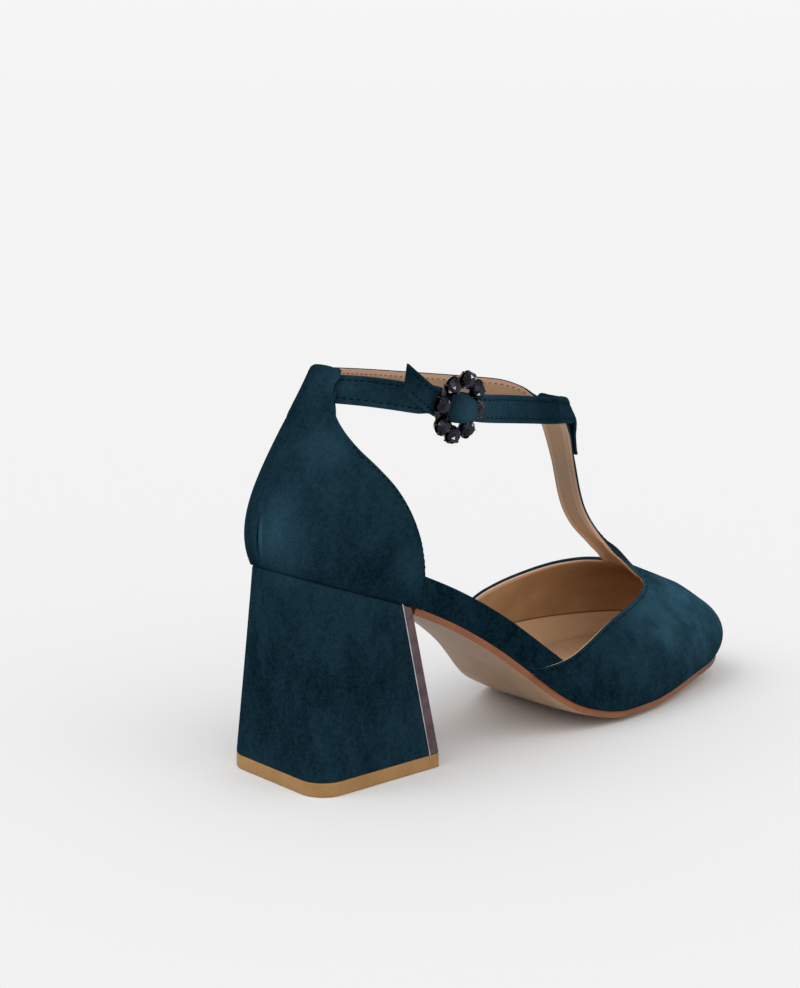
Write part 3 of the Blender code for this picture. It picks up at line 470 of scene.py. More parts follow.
class Wall:
    """A wall of the upper, lofted through a table of columns."""

    def __init__(self, columns, proud):
        self.proud = proud
        self.feet = [feather_share(c.side, c.foot_x) for c in columns]
        self.tops = [Vector((c.top_x, c.top_y, c.top_z)) for c in columns]
        self.handles = list(zip(*((c.rise, c.flare, c.reach, c.drop) for c in columns)))

    def span(self, position):
        """Straight distance from foot to top at a fractional column."""
        share = along(self.feet, position)
        return (along(self.tops, position) - feather_point(share, self.proud)).length

    def point(self, position, height):
        """Point at a fractional column and a share of the wall's height."""
        share = along(self.feet, position)
        foot = feather_point(share, self.proud)
        top = along(self.tops, position)
        rise, flare, reach, drop = (along(values, position) for values in self.handles)
        away = outward(share)
        span = (top - foot).length
        first = foot + (Vector((0, 0, rise)) + away * flare) * span
        second = top + (away * reach - Vector((0, 0, drop))) * span
        return bezier(foot, first, second, top, height)


def mirrored_columns(columns):
    """The outer half of the counter joined to its reflection on the inner side."""
    reflected = [column._replace(side="inner", top_y=-column.top_y) for column in columns[:-1]]
    return reflected + columns[::-1]


# Materials


def colour(red, green, blue):
    """Linear colour of a screen colour from 0 to 255."""
    values = []
    for level in (red, green, blue):
        share = level / 255
        values.append(share / 12.92 if share <= 0.04045 else ((share + 0.055) / 1.055) ** 2.4)
    return (*values, 1.0)


class Surface:
    """A material with short ways to add nodes to its shader."""

    def __init__(self, name, sockets):
        self.material = bpy.data.materials.new(name)
        self.material.use_nodes = True
        self.tree = self.material.node_tree
        self.shader = self.tree.nodes["Principled BSDF"]
        for socket, value in sockets.items():
            self.shader.inputs[socket].default_value = value
        self.place = self.node("ShaderNodeTexCoord").outputs["Object"]

    def feed(self, socket, value):
        if isinstance(value, bpy.types.NodeSocket):
            self.tree.links.new(value, socket)
        else:
            socket.default_value = value

    def node(self, kind, inputs=None, **settings):
        made = self.tree.nodes.new(kind)
        for name, value in settings.items():
            setattr(made, name, value)
        for name, value in (inputs or {}).items():
            self.feed(made.inputs[name], value)
        return made

    def noise(self, scale, detail=3.0, roughness=0.55, stretch=(1.0, 1.0, 1.0), turn=(0.0, 0.0, 0.0)):
        """Noise value, with scale in features for each metre."""
        moved = self.node(
            "ShaderNodeMapping", {"Vector": self.place, "Scale": stretch, "Rotation": turn}
        )
        inputs = {
            "Vector": moved.outputs["Vector"], "Scale": scale, "Detail": detail,
            "Roughness": roughness,
        }
        return self.node("ShaderNodeTexNoise", inputs).outputs["Fac"]

    def near(self, zone):
        """1 in the middle of a zone, and 0 from its reach on."""
        reach = Vector((zone.reach_x, zone.reach_y, zone.reach_z))
        scale = [1 / (length * MM) for length in reach]
        shift = [-zone.x / reach.x, -zone.y / reach.y, -zone.z / reach.z]
        inputs = {0: self.place, 1: scale, 2: shift}
        moved = self.node("ShaderNodeVectorMath", inputs, operation="MULTIPLY_ADD").outputs["Vector"]
        length = self.node("ShaderNodeVectorMath", {0: moved}, operation="LENGTH").outputs["Value"]
        return self.spread(length, 1.0, 0.0)

    def tinge(self, zone):
        """A zone's tone in its middle, which fades to 0 at its reach."""
        return self.sum((self.near(zone), zone.tone))

    def cells(self, scale):
        """Distance to the nearest cell middle, for leather grain."""
        inputs = {"Vector": self.place, "Scale": scale}
        return self.node("ShaderNodeTexVoronoi", inputs).outputs["Distance"]

    def spread(self, value, low, high):
        """Value moved from low and high to 0 and 1."""
        inputs = {"Value": value, "From Min": low, "From Max": high}
        return self.node("ShaderNodeMapRange", inputs, interpolation_type="SMOOTHSTEP").outputs["Result"]

    def sum(self, *parts):
        """Sum of (value, weight) pairs."""
        total = 0.0
        for value, weight in parts:
            made = self.node("ShaderNodeMath", operation="MULTIPLY_ADD")
            for socket, part in zip(made.inputs, (value, weight, total)):
                self.feed(socket, part)
            total = made.outputs["Value"]
        return total

    def mix(self, share, first, second):
        made = self.node("ShaderNodeMix", data_type="RGBA")
        for index, value in ((0, share), (6, first), (7, second)):
            self.feed(made.inputs[index], value)
        return made.outputs[2]

    def attribute(self, name):
        return self.node("ShaderNodeAttribute", attribute_name=name).outputs["Fac"]

    def bump(self, height, distance, strength=1.0):
        """Relief of height, with distance in millimetres."""
        inputs = {"Height": height, "Distance": distance * MM, "Strength": strength}
        made = self.node("ShaderNodeBump", inputs)
        self.feed(self.shader.inputs["Normal"], made.outputs["Normal"])

    def set(self, socket, value):
        self.feed(self.shader.inputs[socket], value)


SUEDE_DARK = colour(2, 14, 22)
SUEDE_LIGHT = colour(56, 94, 112)
SUEDE_SHEEN = colour(60, 105, 125)

# Zones of tone on the suede: painted light where it faces the light (vamp, toe, counter's bulge), painted
# shade with a tone below 0 (heel), a painted highlight and shadow beside the dart, and in places patchy
# nap
NAP_LIGHT_AND_SHADE_ZONES = table(ToneZone, [
    (150.0, -14.0, 26.0, 90.0, 60.0, 60.0, 0.17), (190.0, -6.0, 34.0, 64.0, 54.0, 44.0, 0.32),
    (148.0, -32.0, 26.0, 14.0, 14.0, 10.0, 0.12), (166.0, -8.0, 46.0, 12.0, 12.0, 9.0, -0.12),
    (176.0, -22.0, 20.0, 12.0, 12.0, 12.0, -0.08), (-8.0, -14.0, 108.0, 70.0, 60.0, 56.0, 0.13),
    (-28.0, -5.0, 90.0, 22.0, 16.0, 20.0, 0.26), (-30.0, 0.2, 89.5, 14.0, 1.5, 11.0, 0.30),
    (-30.0, 1.9, 89.5, 14.0, 0.9, 11.0, -0.30), (-16.0, -14.0, 122.0, 18.0, 14.0, 12.0, 0.12),
    (14.0, -28.0, 76.0, 14.0, 12.0, 14.0, 0.16), (-4.0, -8.0, 143.0, 14.0, 14.0, 10.0, 0.12),
    (40.0, -28.0, 128.0, 70.0, 24.0, 24.0, 0.27), (31.0, -37.0, 132.0, 8.0, 9.0, 8.0, 0.30),
    (112.0, -10.0, 118.0, 26.0, 20.0, 14.0, 0.10), (-6.0, 0.0, 34.0, 56.0, 64.0, 38.0, -0.10),
])
BRUSHED_ZONE = ToneZone(166.0, -8.0, 30.0, 76.0, 66.0, 54.0, 0.26)


def suede_surface():
    """Napped suede: brushed patches, fine streaks, short fibres, pale raw edges that are partly a painted
    highlight, and zones of painted light and shade.
    """
    surface = Surface("suede", {
        "Specular IOR Level": 0.0, "Sheen Weight": 0.05, "Sheen Roughness": 0.45,
        "Sheen Tint": SUEDE_SHEEN,
    })
    patches = surface.noise(42, 3.0, 0.60, stretch=(1.0, 1.0, 0.8))
    strokes = surface.noise(150, 4.0, 0.65, stretch=(1.0, 1.0, 0.5), turn=(0.3, 0.5, 0.0))
    fibres = surface.noise(1700, 3.0, 0.80)
    tufts = surface.noise(560, 3.0, 0.70)
    marks = surface.noise(90, 2.5, 0.60, stretch=(1.0, 1.0, 0.8))
    parts = [
        (surface.spread(patches, 0.36, 0.64), 0.055),
        (surface.spread(strokes, 0.34, 0.66), 0.06),
        (surface.spread(tufts, 0.34, 0.66), 0.07),
        (surface.spread(fibres, 0.34, 0.66), 0.10),
        (surface.spread(marks, 0.38, 0.64), surface.tinge(BRUSHED_ZONE)),
        # Paler along cut edges: the raw edge, plus a painted highlight of the nap catching the light there
        (surface.spread(surface.attribute("edge_mm"), 0.7, 0.15), 0.10),
        (1.0, -0.0525),
    ]
    # The zones add painted light and shade to the suede's tone
    tone = surface.sum(*parts, *((surface.near(zone), zone.tone) for zone in NAP_LIGHT_AND_SHADE_ZONES))
    surface.set("Base Color", surface.mix(tone, SUEDE_DARK, SUEDE_LIGHT))
    surface.set("Roughness", surface.sum((tone, -0.08), (1.0, 0.98)))
    surface.bump(surface.sum((fibres, 0.7), (tufts, 0.7), (strokes, 0.5)), 0.30, 0.6)
    return surface.material


LINING_SEAM_X = 133.0
LINING_SEAM_Z = 21.2
LINING_SEAM_SLOPE = -0.051
LOW_LINING = colour(232, 200, 164)
SEAM_LINE = colour(120, 86, 58)
# Painted shade: the lining darker on the T-strap's inner face and deep in the toe, where little light
# reaches
TONGUE_SHADE_ZONE = ToneZone(120.0, -2.0, 92.0, 34.0, 30.0, 46.0, 0.8)
TONGUE_SHADE_LINING = colour(120, 97, 81)
TOE_SHADE_ZONE = ToneZone(166.0, 4.0, 40.0, 44.0, 40.0, 26.0, 1.0)
TOE_SHADE_LINING = colour(112, 74, 42)


def lining_surface(name, main, shade, edge):
    """Smooth lining leather with a paler folded edge, in the vamp a seam above the sock, and painted shade
    on the T-strap's inside and deep in the toe.
    """
    surface = Surface(name, {"Specular IOR Level": 0.35})
    axes = surface.node("ShaderNodeSeparateXYZ", {"Vector": surface.place}).outputs
    base = (LINING_SEAM_SLOPE * LINING_SEAM_X - LINING_SEAM_Z) * MM
    above = surface.sum((axes["Z"], 1.0), (axes["X"], -LINING_SEAM_SLOPE), (1.0, base))
    beside = surface.node("ShaderNodeMath", {0: above}, operation="ABSOLUTE").outputs["Value"]
    seam = surface.spread(beside, 0.55 * MM, 0.1 * MM)
    clouds = surface.noise(60, 3.0, 0.55)
    grain = surface.cells(1300)
    body = surface.mix(surface.spread(clouds, 0.30, 0.72), shade, main)
    body = surface.mix(surface.spread(above, 0.1 * MM, -0.1 * MM), body, LOW_LINING)
    body = surface.mix(seam, body, SEAM_LINE)
    rim = surface.spread(surface.attribute("edge_mm"), 2.6, 1.8)
    body = surface.mix(rim, body, edge)
    # Painted shade on the T-strap's inner face and deep in the toe
    for zone, tint in ((TONGUE_SHADE_ZONE, TONGUE_SHADE_LINING), (TOE_SHADE_ZONE, TOE_SHADE_LINING)):
        body = surface.mix(surface.tinge(zone), body, tint)
    surface.set("Base Color", body)
    surface.set("Roughness", surface.sum((clouds, 0.20), (1.0, 0.45)))
    surface.bump(surface.sum((grain, 0.5), (clouds, 0.8)), 0.12, 0.5)
    return surface.material


# Painted shade: the sole's edge darker at the toe, where it meets the floor
TOE_FLOOR_SHADE_ZONE = ToneZone(204.0, -8.0, 12.0, 74.0, 60.0, 40.0, 1.0)
TOE_FLOOR_SHADE = colour(46, 32, 26)


def plain_leather(name, main, shade, roughness, contact_shade=0.0):
    """Leather or rubber with clouded colour, a fine grain and, where contact_shade is set, a toe darkened
    by painted shade where it meets the floor.
    """
    surface = Surface(name, {"Specular IOR Level": 0.35})
    clouds = surface.noise(70, 4.0, 0.60)
    specks = surface.noise(1100, 2.0, 0.60)
    tone = surface.sum((surface.spread(clouds, 0.30, 0.70), 0.7), (surface.spread(specks, 0.3, 0.7), 0.3))
    body = surface.mix(tone, shade, main)
    # Painted shade at the toe, where the sole meets the floor
    contact_shaded = surface.sum((surface.tinge(TOE_FLOOR_SHADE_ZONE), contact_shade))
    surface.set("Base Color", surface.mix(contact_shaded, body, TOE_FLOOR_SHADE))
    surface.set("Roughness", surface.sum((specks, 0.18), (1.0, roughness - 0.09)))
    surface.bump(surface.sum((specks, 0.6), (clouds, 0.6)), 0.08, 0.5)
    return surface.material


def metal_surface(name, main, shade, roughness):
    """Metal with faint handling marks."""
    surface = Surface(name, {"Metallic": 1.0})
    clouds = surface.noise(220, 3.0, 0.6)
    marks = surface.noise(700, 2.0, 0.5, stretch=(1.0, 1.0, 0.15))
    surface.set("Base Color", surface.mix(surface.spread(clouds, 0.3, 0.7), shade, main))
    surface.set("Roughness", surface.sum((marks, 0.16), (1.0, roughness - 0.08)))
    surface.bump(marks, 0.02, 0.4)
    return surface.material


def crystal_surface(name, dark, light):
    """Cut glass whose colour changes from facet to facet."""
    surface = Surface(name, {"Roughness": 0.04, "Specular IOR Level": 0.2})
    tint = surface.noise(330, 2.0, 0.5)
    surface.set("Base Color", surface.mix(surface.spread(tint, 0.42, 0.60), dark, light))
    return surface.material


def thread_surface(name, main, shade):
    surface = Surface(name, {"Roughness": 0.8, "Specular IOR Level": 0.04})
    twist = surface.noise(900, 2.0, 0.6)
    surface.set("Base Color", surface.mix(surface.spread(twist, 0.3, 0.7), shade, main))
    return surface.material


MATERIALS = {
    "suede": suede_surface(),
    "lining": lining_surface(
        "lining", colour(190, 157, 120), colour(174, 140, 103), colour(214, 176, 148)
    ),
    "strap_lining": lining_surface(
        "strap lining", colour(162, 130, 102), colour(146, 114, 88), colour(178, 144, 120)
    ),
    "sock": plain_leather("sock", colour(232, 200, 164), colour(220, 186, 150), 0.5),
    "sole_edge": plain_leather("sole edge", colour(142, 84, 50), colour(116, 66, 38), 0.45, 1.0),
    "sole_bottom": plain_leather("sole bottom", colour(182, 152, 124), colour(162, 132, 104), 0.5),
    "lift": plain_leather("lift", colour(166, 126, 76), colour(146, 108, 62), 0.55),
    "plate": metal_surface("plate", colour(104, 88, 92), colour(86, 70, 74), 0.38),
    # Pale metal for the plate's bead: a painted highlight of its rear bevel
    "bevel_highlight": metal_surface("bevel_highlight", colour(200, 196, 196), colour(164, 158, 160), 0.22),
    "gunmetal": metal_surface("gunmetal", colour(74, 68, 66), colour(46, 42, 42), 0.22),
    "crystal": crystal_surface("crystal", colour(2, 2, 4), colour(20, 16, 36)),
    "violet_facet": crystal_surface("violet facet", colour(34, 26, 62), colour(58, 48, 92)),
    # Painted glints: pale facets standing in for the light that a cut stone reflects
    "painted_glint_facet": crystal_surface("painted glint facet", colour(120, 116, 122), colour(225, 222, 220)),
    "dark_thread": thread_surface("dark thread", colour(6, 22, 31), colour(2, 12, 18)),
    "tan_thread": thread_surface("tan thread", colour(150, 104, 70), colour(116, 78, 50)),
}


# Pieces

SHARP_ANGLE = math.radians(50)


def add_object(name, data):
    made = bpy.data.objects.new(name, data)
    bpy.context.scene.collection.objects.link(made)
    return made


def finished_mesh(name, bm, materials):
    mesh = bpy.data.meshes.new(name)
    bm.to_mesh(mesh)
    bm.free()
    for material in materials:
        mesh.materials.append(material)
    return mesh


def new_piece(name, bm, looks, replaced=(), smooth=True):
    """Make a mesh in millimetres a piece of the object."""
    bmesh.ops.scale(bm, vec=(MM, MM, MM), verts=bm.verts)
    mesh = finished_mesh(name, bm, [MATERIALS[look] for look in looks])
    if smooth:
        mesh.shade_smooth()
        mesh.set_sharp_from_angle(angle=SHARP_ANGLE)
    piece = add_object(name, mesh)
    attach(piece, "root")
    if replaced:
        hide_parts(*replaced)
    return piece


def thicken(piece, thickness, offset=-1.0, rim=0):
    shell = piece.modifiers.new("wall", "SOLIDIFY")
    shell.thickness = thickness * MM
    shell.offset = offset
    shell.use_quality_normals = True
    shell.material_offset_rim = rim


def soften(piece, width, segments=3):
    edge = piece.modifiers.new("edge", "BEVEL")
    edge.width = width * MM
    edge.segments = segments
    edge.limit_method = "ANGLE"
    edge.angle_limit = SHARP_ANGLE
    edge.harden_normals = False


def make_panel(name, lining_name, face, lining):
    """Suede wall of the upper with the wall of its lining."""
    for wall_name, mesh, look, thickness in (
        (name, face, "suede", SUEDE_WALL),
        (lining_name, lining, "lining", LINING_WALL),
    ):
        thicken(new_piece(wall_name, mesh, [look], ["upper"]), thickness)


def around(angle):
    """Direction at an angle in the plane of X and Y."""
    return Vector((math.cos(angle), math.sin(angle), 0.0))


def skin(bm, rings):
    """Faces between each ring of vertices and the next one."""
    for ring, following in zip(rings, rings[1:]):
        for step, vert in enumerate(ring):
            ahead = (step + 1) % len(ring)
            bm.faces.new([vert, following[step], following[ahead], ring[ahead]])


class Sheet:
    """Grid of points whose cut edge is known, as a mesh in millimetres."""

    EDGE_SLACK = 0.05

    def __init__(self, columns, rows, place, keep=None):
        self.mesh = bmesh.new()
        self.layer = self.mesh.verts.layers.float.new("edge_mm")
        self.verts = {}
        for column in range(columns + 1):
            for row in range(rows + 1):
                if keep is None or keep(column, row):
                    self.verts[column, row] = self.mesh.verts.new(place(column, row))
        for column, row in self.verts:
            ring = [(column, row), (column + 1, row), (column + 1, row + 1), (column, row + 1)]
            corners = [self.verts.get(spot) for spot in ring]
            if None not in corners:
                self.mesh.faces.new(corners)
        self.mesh.normal_update()

    def measure_edge(self, path):
        """Keep each vertex's distance from the cut edge as an attribute."""
        tree = KDTree(len(path))
        for index, spot in enumerate(path):
            tree.insert(self.verts[spot].co, index)
        tree.balance()
        for vert in self.mesh.verts:
            vert[self.layer] = tree.find(vert.co)[2]

    def press(self, depth_at):
        """Move the vertices along their normals by a function of the edge distance."""
        for vert in self.mesh.verts:
            vert.co += vert.normal * depth_at(vert[self.layer])
        self.mesh.normal_update()

    def crease(self, troughs):
        """Press soft troughs, given as (start, end, depth, width), into the face."""
        for vert in self.mesh.verts:
            depth = 0.0
            for start, end, deepest, width in troughs:
                line = end - start
                share = (vert.co - start).dot(line) / line.length_squared
                nearest = start + line * min(1.0, max(0.0, share))
                depth += deepest * math.exp(-((vert.co - nearest).length / width) ** 2)
            vert.co -= vert.normal * depth
        self.mesh.normal_update()

    def round_corner(self, path, corner, reach):
        """Fillet the inner corner of a cut edge, and draw the face near it along."""
        places = [self.verts[spot].co.copy() for spot in path]
        at = path.index(corner)
        first = max(i for i in range(at) if (places[i] - places[at]).length >= reach)
        last = min(i for i in range(at, len(path)) if (places[i] - places[at]).length >= reach)
        tree = KDTree(last - first + 1)
        moves = {}
        for index in range(first, last + 1):
            share = (index - first) / (last - first)
            bow = places[first].lerp(places[at], share).lerp(places[at].lerp(places[last], share), share)
            moves[index] = bow - places[index]
            tree.insert(places[index], index)
        tree.balance()
        for vert in self.mesh.verts:
            _, index, distance = tree.find(vert.co)
            if distance < reach * 2:
                vert.co += moves[index] * (1 - distance / (reach * 2)) ** 2
        self.mesh.normal_update()

    def lining(self, depth, rise=0.0):
        """Copy of the mesh moved in from the face by depth, its cut edge raised by rise."""
        copy = self.mesh.copy()
        layer = copy.verts.layers.float["edge_mm"]
        copy.normal_update()
        lifts = []
        for vert in copy.verts:
            if rise and vert.is_boundary and vert[layer] < self.EDGE_SLACK:
                ends = [edge.other_vert(vert).co for edge in vert.link_edges if edge.is_boundary]
                away = (ends[0] - ends[-1]).cross(vert.normal)
                inner = vert.link_faces[0].calc_center_median()
                lifts.append((vert, away if away.dot(vert.co - inner) > 0 else -away))
        for vert in copy.verts:
            vert.co -= vert.normal * depth
        for vert, away in lifts:
            vert.co += away.normalized() * rise
        copy.normal_update()
        return copy


def edge_profile(distance):
    """Rounded cut edge and pressed stitch line of a sewn panel."""
    rolled = EDGE_ROLL * max(0.0, 1 - distance / EDGE_ROLL_REACH) ** 2
    groove = GROOVE_DEPTH * math.exp(-(((distance - STITCH_INSET) / GROOVE_HALF_WIDTH) ** 2))
    swell = SWELL_HEIGHT * math.exp(-(((distance - SWELL_INSET) / GROOVE_HALF_WIDTH) ** 2))
    return -rolled - groove + swell


def wall_troughs(wall, creases):
    """Creases as lines on the wall's face."""
    return [
        (wall.point(c.start, c.start_height), wall.point(c.end, c.end_height), c.depth, c.width)
        for c in creases
    ]


# Stitching

HEADING_REACH = 2
SEAM_POINT_STEP = 3
RAW_EDGE_SIDES = 6
DARK_STITCHES = bmesh.new()
TAN_STITCHES = bmesh.new()
RAW_EDGES = bmesh.new()


def put_stitch(bm, centre, heading, normal):
    """One stitch lying along heading on a face."""
    side = normal.cross(heading).normalized()
    flat = side.cross(normal).normalized()
    turn = Matrix((flat, side, normal)).transposed().to_4x4()
    size = Matrix.Diagonal((STITCH_LENGTH / 2, STITCH_WIDTH / 2, STITCH_HALF_HEIGHT, 1.0))
    place = Matrix.Translation(centre) @ turn @ size
    bmesh.ops.create_icosphere(bm, subdivisions=1, radius=1.0, matrix=place)


def stitch_line(bm, points, tree, face=1.0):
    """Stitches along a line of points, on the front (1) or back (-1) of the nearest face."""
    route = Route(points)
    count = int(route.length / STITCH_PITCH)
    for index in range(count):
        share = (index + 0.5) / count
        spot, normal, _, distance = tree.find_nearest(route.at(share))
        if distance < STITCH_INSET:
            heading = route.heading(share, 0.5 / count)
            put_stitch(bm, spot + normal * (face * STITCH_LIFT), heading, normal * face)


def inset_line(sheet, path, inset):
    """Points inset from the cut edge, along the face."""
    corners = [sheet.verts[spot] for spot in path]
    points = []
    for index, vert in enumerate(corners):
        before = corners[max(0, index - HEADING_REACH)].co
        after = corners[min(len(corners) - 1, index + HEADING_REACH)].co
        heading = (after - before).normalized()
        inward = heading.cross(vert.normal).normalized()
        points.append(vert.co + inward * inset)
    return points


def sew(sheet, path):
    """Stitch rows on both faces of a panel, a set distance in from its cut edge."""
    line = inset_line(sheet, path, STITCH_INSET)[::SEAM_POINT_STEP]
    stitch_line(DARK_STITCHES, line, BVHTree.FromBMesh(sheet.mesh))
    inner = sheet.lining(LINING_DEPTH + LINING_WALL)
    stitch_line(TAN_STITCHES, line, BVHTree.FromBMesh(inner), -1.0)
    inner.free()


def raw_edge(sheet, path):
    """Pale raw edge of the backing, just inside a cut edge of suede."""
    verts = [sheet.verts[spot] for spot in path]
    points = [vert.co - vert.normal * RAW_EDGE_DEPTH for vert in verts]
    wire(RAW_EDGES, points, RAW_EDGE_WIRE, RAW_EDGE_SIDES)


# Upper: vamp with the strap of the T

EDGE_STEPS = (0.0, 0.45, 0.9, 1.4, 1.8, 2.2, 2.7, 3.4, 4.4)
VAMP_PER_SPAN = 12
VAMP_ROWS = 40
TONGUE_ROWS = 72
TONGUE_BLEND = 14.0
SHORTEST_WALL = 12.0
THROAT_RADIUS = 4.0
VAMP_BARE = 4
TONGUE_BARE = 30
LOOP_ROWS = 90
LOOP_COLUMNS = 28
LOOP_STITCH_INSET = 4
LOOP_STITCH_ROWS = range(40, LOOP_ROWS + 1, 6)
LOOP_SEAM_ROW = LOOP_ROWS - 5
LOOP_SEAM_COLUMNS = range(3, LOOP_COLUMNS - 2, 3)


def wall_height(row, rows, span):
    """Share of the wall's height, with narrow rows at its cut edge."""
    close = len(EDGE_STEPS) - 1
    reach = max(span, SHORTEST_WALL)
    if row >= rows - close:
        return 1 - EDGE_STEPS[rows - row] / reach
    return (1 - EDGE_STEPS[-1] / reach) * row / (rows - close)


def tongue_route():
    return Route([Vector(row[:3]) for row in TONGUE])


def tongue_outward(route, share):
    heading = route.heading(share)
    return Vector((heading.z, 0.0, -heading.x))


def tongue_crown(up):
    """Rise of the T-strap's middle over its edges, which fades up the instep."""
    return TONGUE_CROWN * (1 - ease(up, TONGUE_CROWN_FROM, TONGUE_CROWN_FROM + TONGUE_CROWN_FADE))


def tongue_point(route, up, across):
    """Point on the T-strap's outer face, up along it and across from -1 to 1."""
    share = min(1.0, up / route.length)
    centre = route.at(share)
    half = along([row.half_width for row in TONGUE], route.position(share))
    fade = max(0.0, 1 - up / TONGUE_SKEW_LENGTH) ** 2
    side = Vector((0, 1, 0)).lerp(TONGUE_SKEW, fade)
    crown = (1 - across * across) * tongue_crown(up)
    return centre + side * (half * across) + tongue_outward(route, share) * crown


def make_vamp():
    wall = Wall(VAMP, VAMP_PROUD)
    route = tongue_route()
    columns = VAMP_PER_SPAN * (len(VAMP) - 1)
    first = TONGUE_FIRST * VAMP_PER_SPAN
    last = TONGUE_LAST * VAMP_PER_SPAN
    spans = [wall.span(column / VAMP_PER_SPAN) for column in range(columns + 1)]

    def place(column, row):
        position = column / VAMP_PER_SPAN
        if row <= VAMP_ROWS:
            return wall.point(position, wall_height(row, VAMP_ROWS, spans[column]))
        up = (row - VAMP_ROWS) / TONGUE_ROWS * route.length
        across = 2 * (column - first) / (last - first) - 1
        fade = max(0.0, 1 - up / TONGUE_BLEND) ** 2
        shift = wall.point(position, 1.0) - tongue_point(route, 0.0, across)
        return tongue_point(route, up, across) + shift * fade

    def keep(column, row):
        return row <= VAMP_ROWS or first <= column <= last

    sheet = Sheet(columns, VAMP_ROWS + TONGUE_ROWS, place, keep)
    top = VAMP_ROWS + TONGUE_ROWS
    outer_path = [(column, VAMP_ROWS) for column in range(first)]
    outer_path += [(first, row) for row in range(VAMP_ROWS, top + 1)]
    inner_path = [(last, row) for row in range(top, VAMP_ROWS - 1, -1)]
    inner_path += [(column, VAMP_ROWS) for column in range(last + 1, columns + 1)]
    sheet.round_corner(outer_path, (first, VAMP_ROWS), THROAT_RADIUS)
    sheet.measure_edge(outer_path + inner_path)
    sheet.crease(wall_troughs(wall, VAMP_CREASES))
    sheet.press(edge_profile)
    for path in (outer_path[VAMP_BARE:-TONGUE_BARE], inner_path[TONGUE_BARE:-VAMP_BARE]):
        sew(sheet, path)
    raw_edge(sheet, outer_path[:first])
    lining = sheet.lining(LINING_DEPTH, LINING_RISE)
    make_panel("vamp", "vamp_lining", sheet.mesh, lining)


def make_tongue_loop():
    """Fold of the T-strap over the ankle strap, closed on its own face."""
    route = tongue_route()
    rows = Route([Vector((*row, 0.0)) for row in TONGUE_LOOP])

    def place(column, row):
        spot = rows.at(row / LOOP_ROWS)
        share = min(1.0, spot.x / route.length)
        beyond = max(0.0, spot.x - route.length)
        across = 2 * column / LOOP_COLUMNS - 1
        face = tongue_point(route, min(spot.x, route.length), across)
        return face + tongue_outward(route, share) * spot.y + route.heading(share) * beyond

    sheet = Sheet(LOOP_COLUMNS, LOOP_ROWS, place)
    low_edge = [(column, LOOP_ROWS) for column in range(LOOP_COLUMNS + 1)]
    sides = [(side, row) for side in (0, LOOP_COLUMNS) for row in range(LOOP_ROWS + 1)]
    sheet.measure_edge(low_edge + sides)
    sheet.press(edge_profile)
    tree = BVHTree.FromBMesh(sheet.mesh)
    seams = [
        [(column, row) for row in LOOP_STITCH_ROWS]
        for column in (LOOP_STITCH_INSET, LOOP_COLUMNS - LOOP_STITCH_INSET)
    ]
    seams.append([(column, LOOP_SEAM_ROW) for column in LOOP_SEAM_COLUMNS])
    for seam in seams:
        stitch_line(DARK_STITCHES, [sheet.verts[spot].co.copy() for spot in seam], tree)
    loop = new_piece("tongue_loop", sheet.mesh, ["suede"], ["upper"])
    thicken(loop, SUEDE_WALL)


# Upper: counter with its sleeve, and waist strips

COUNTER_PER_SPAN = 7
COUNTER_ROWS = 44
SLEEVE_ROWS = 46
BARE_COLUMNS = 32
BARE_ROWS = 6
STRIP_COLUMNS = 110
STRIP_ROWS = 20
FACE_STEP = 0.02
COLUMN_STEP = 0.1


def flare_sleeve(sheet):
    """Draw the upper corners of the sleeve forwards along the strap."""
    low = SLEEVE_FLARE_FROM
    full = SLEEVE_FLARE_FULL
    for vert in sheet.mesh.verts:
        share = ease(abs(vert.co.y), low.y, full.y) * ease(vert.co.z, low.z, full.z)
        hand = 1.0 if vert.co.y > 0 else -1.0
        vert.co += SLEEVE_FLARE * Vector((1.0, hand, 1.0)) * share
    sheet.mesh.normal_update()


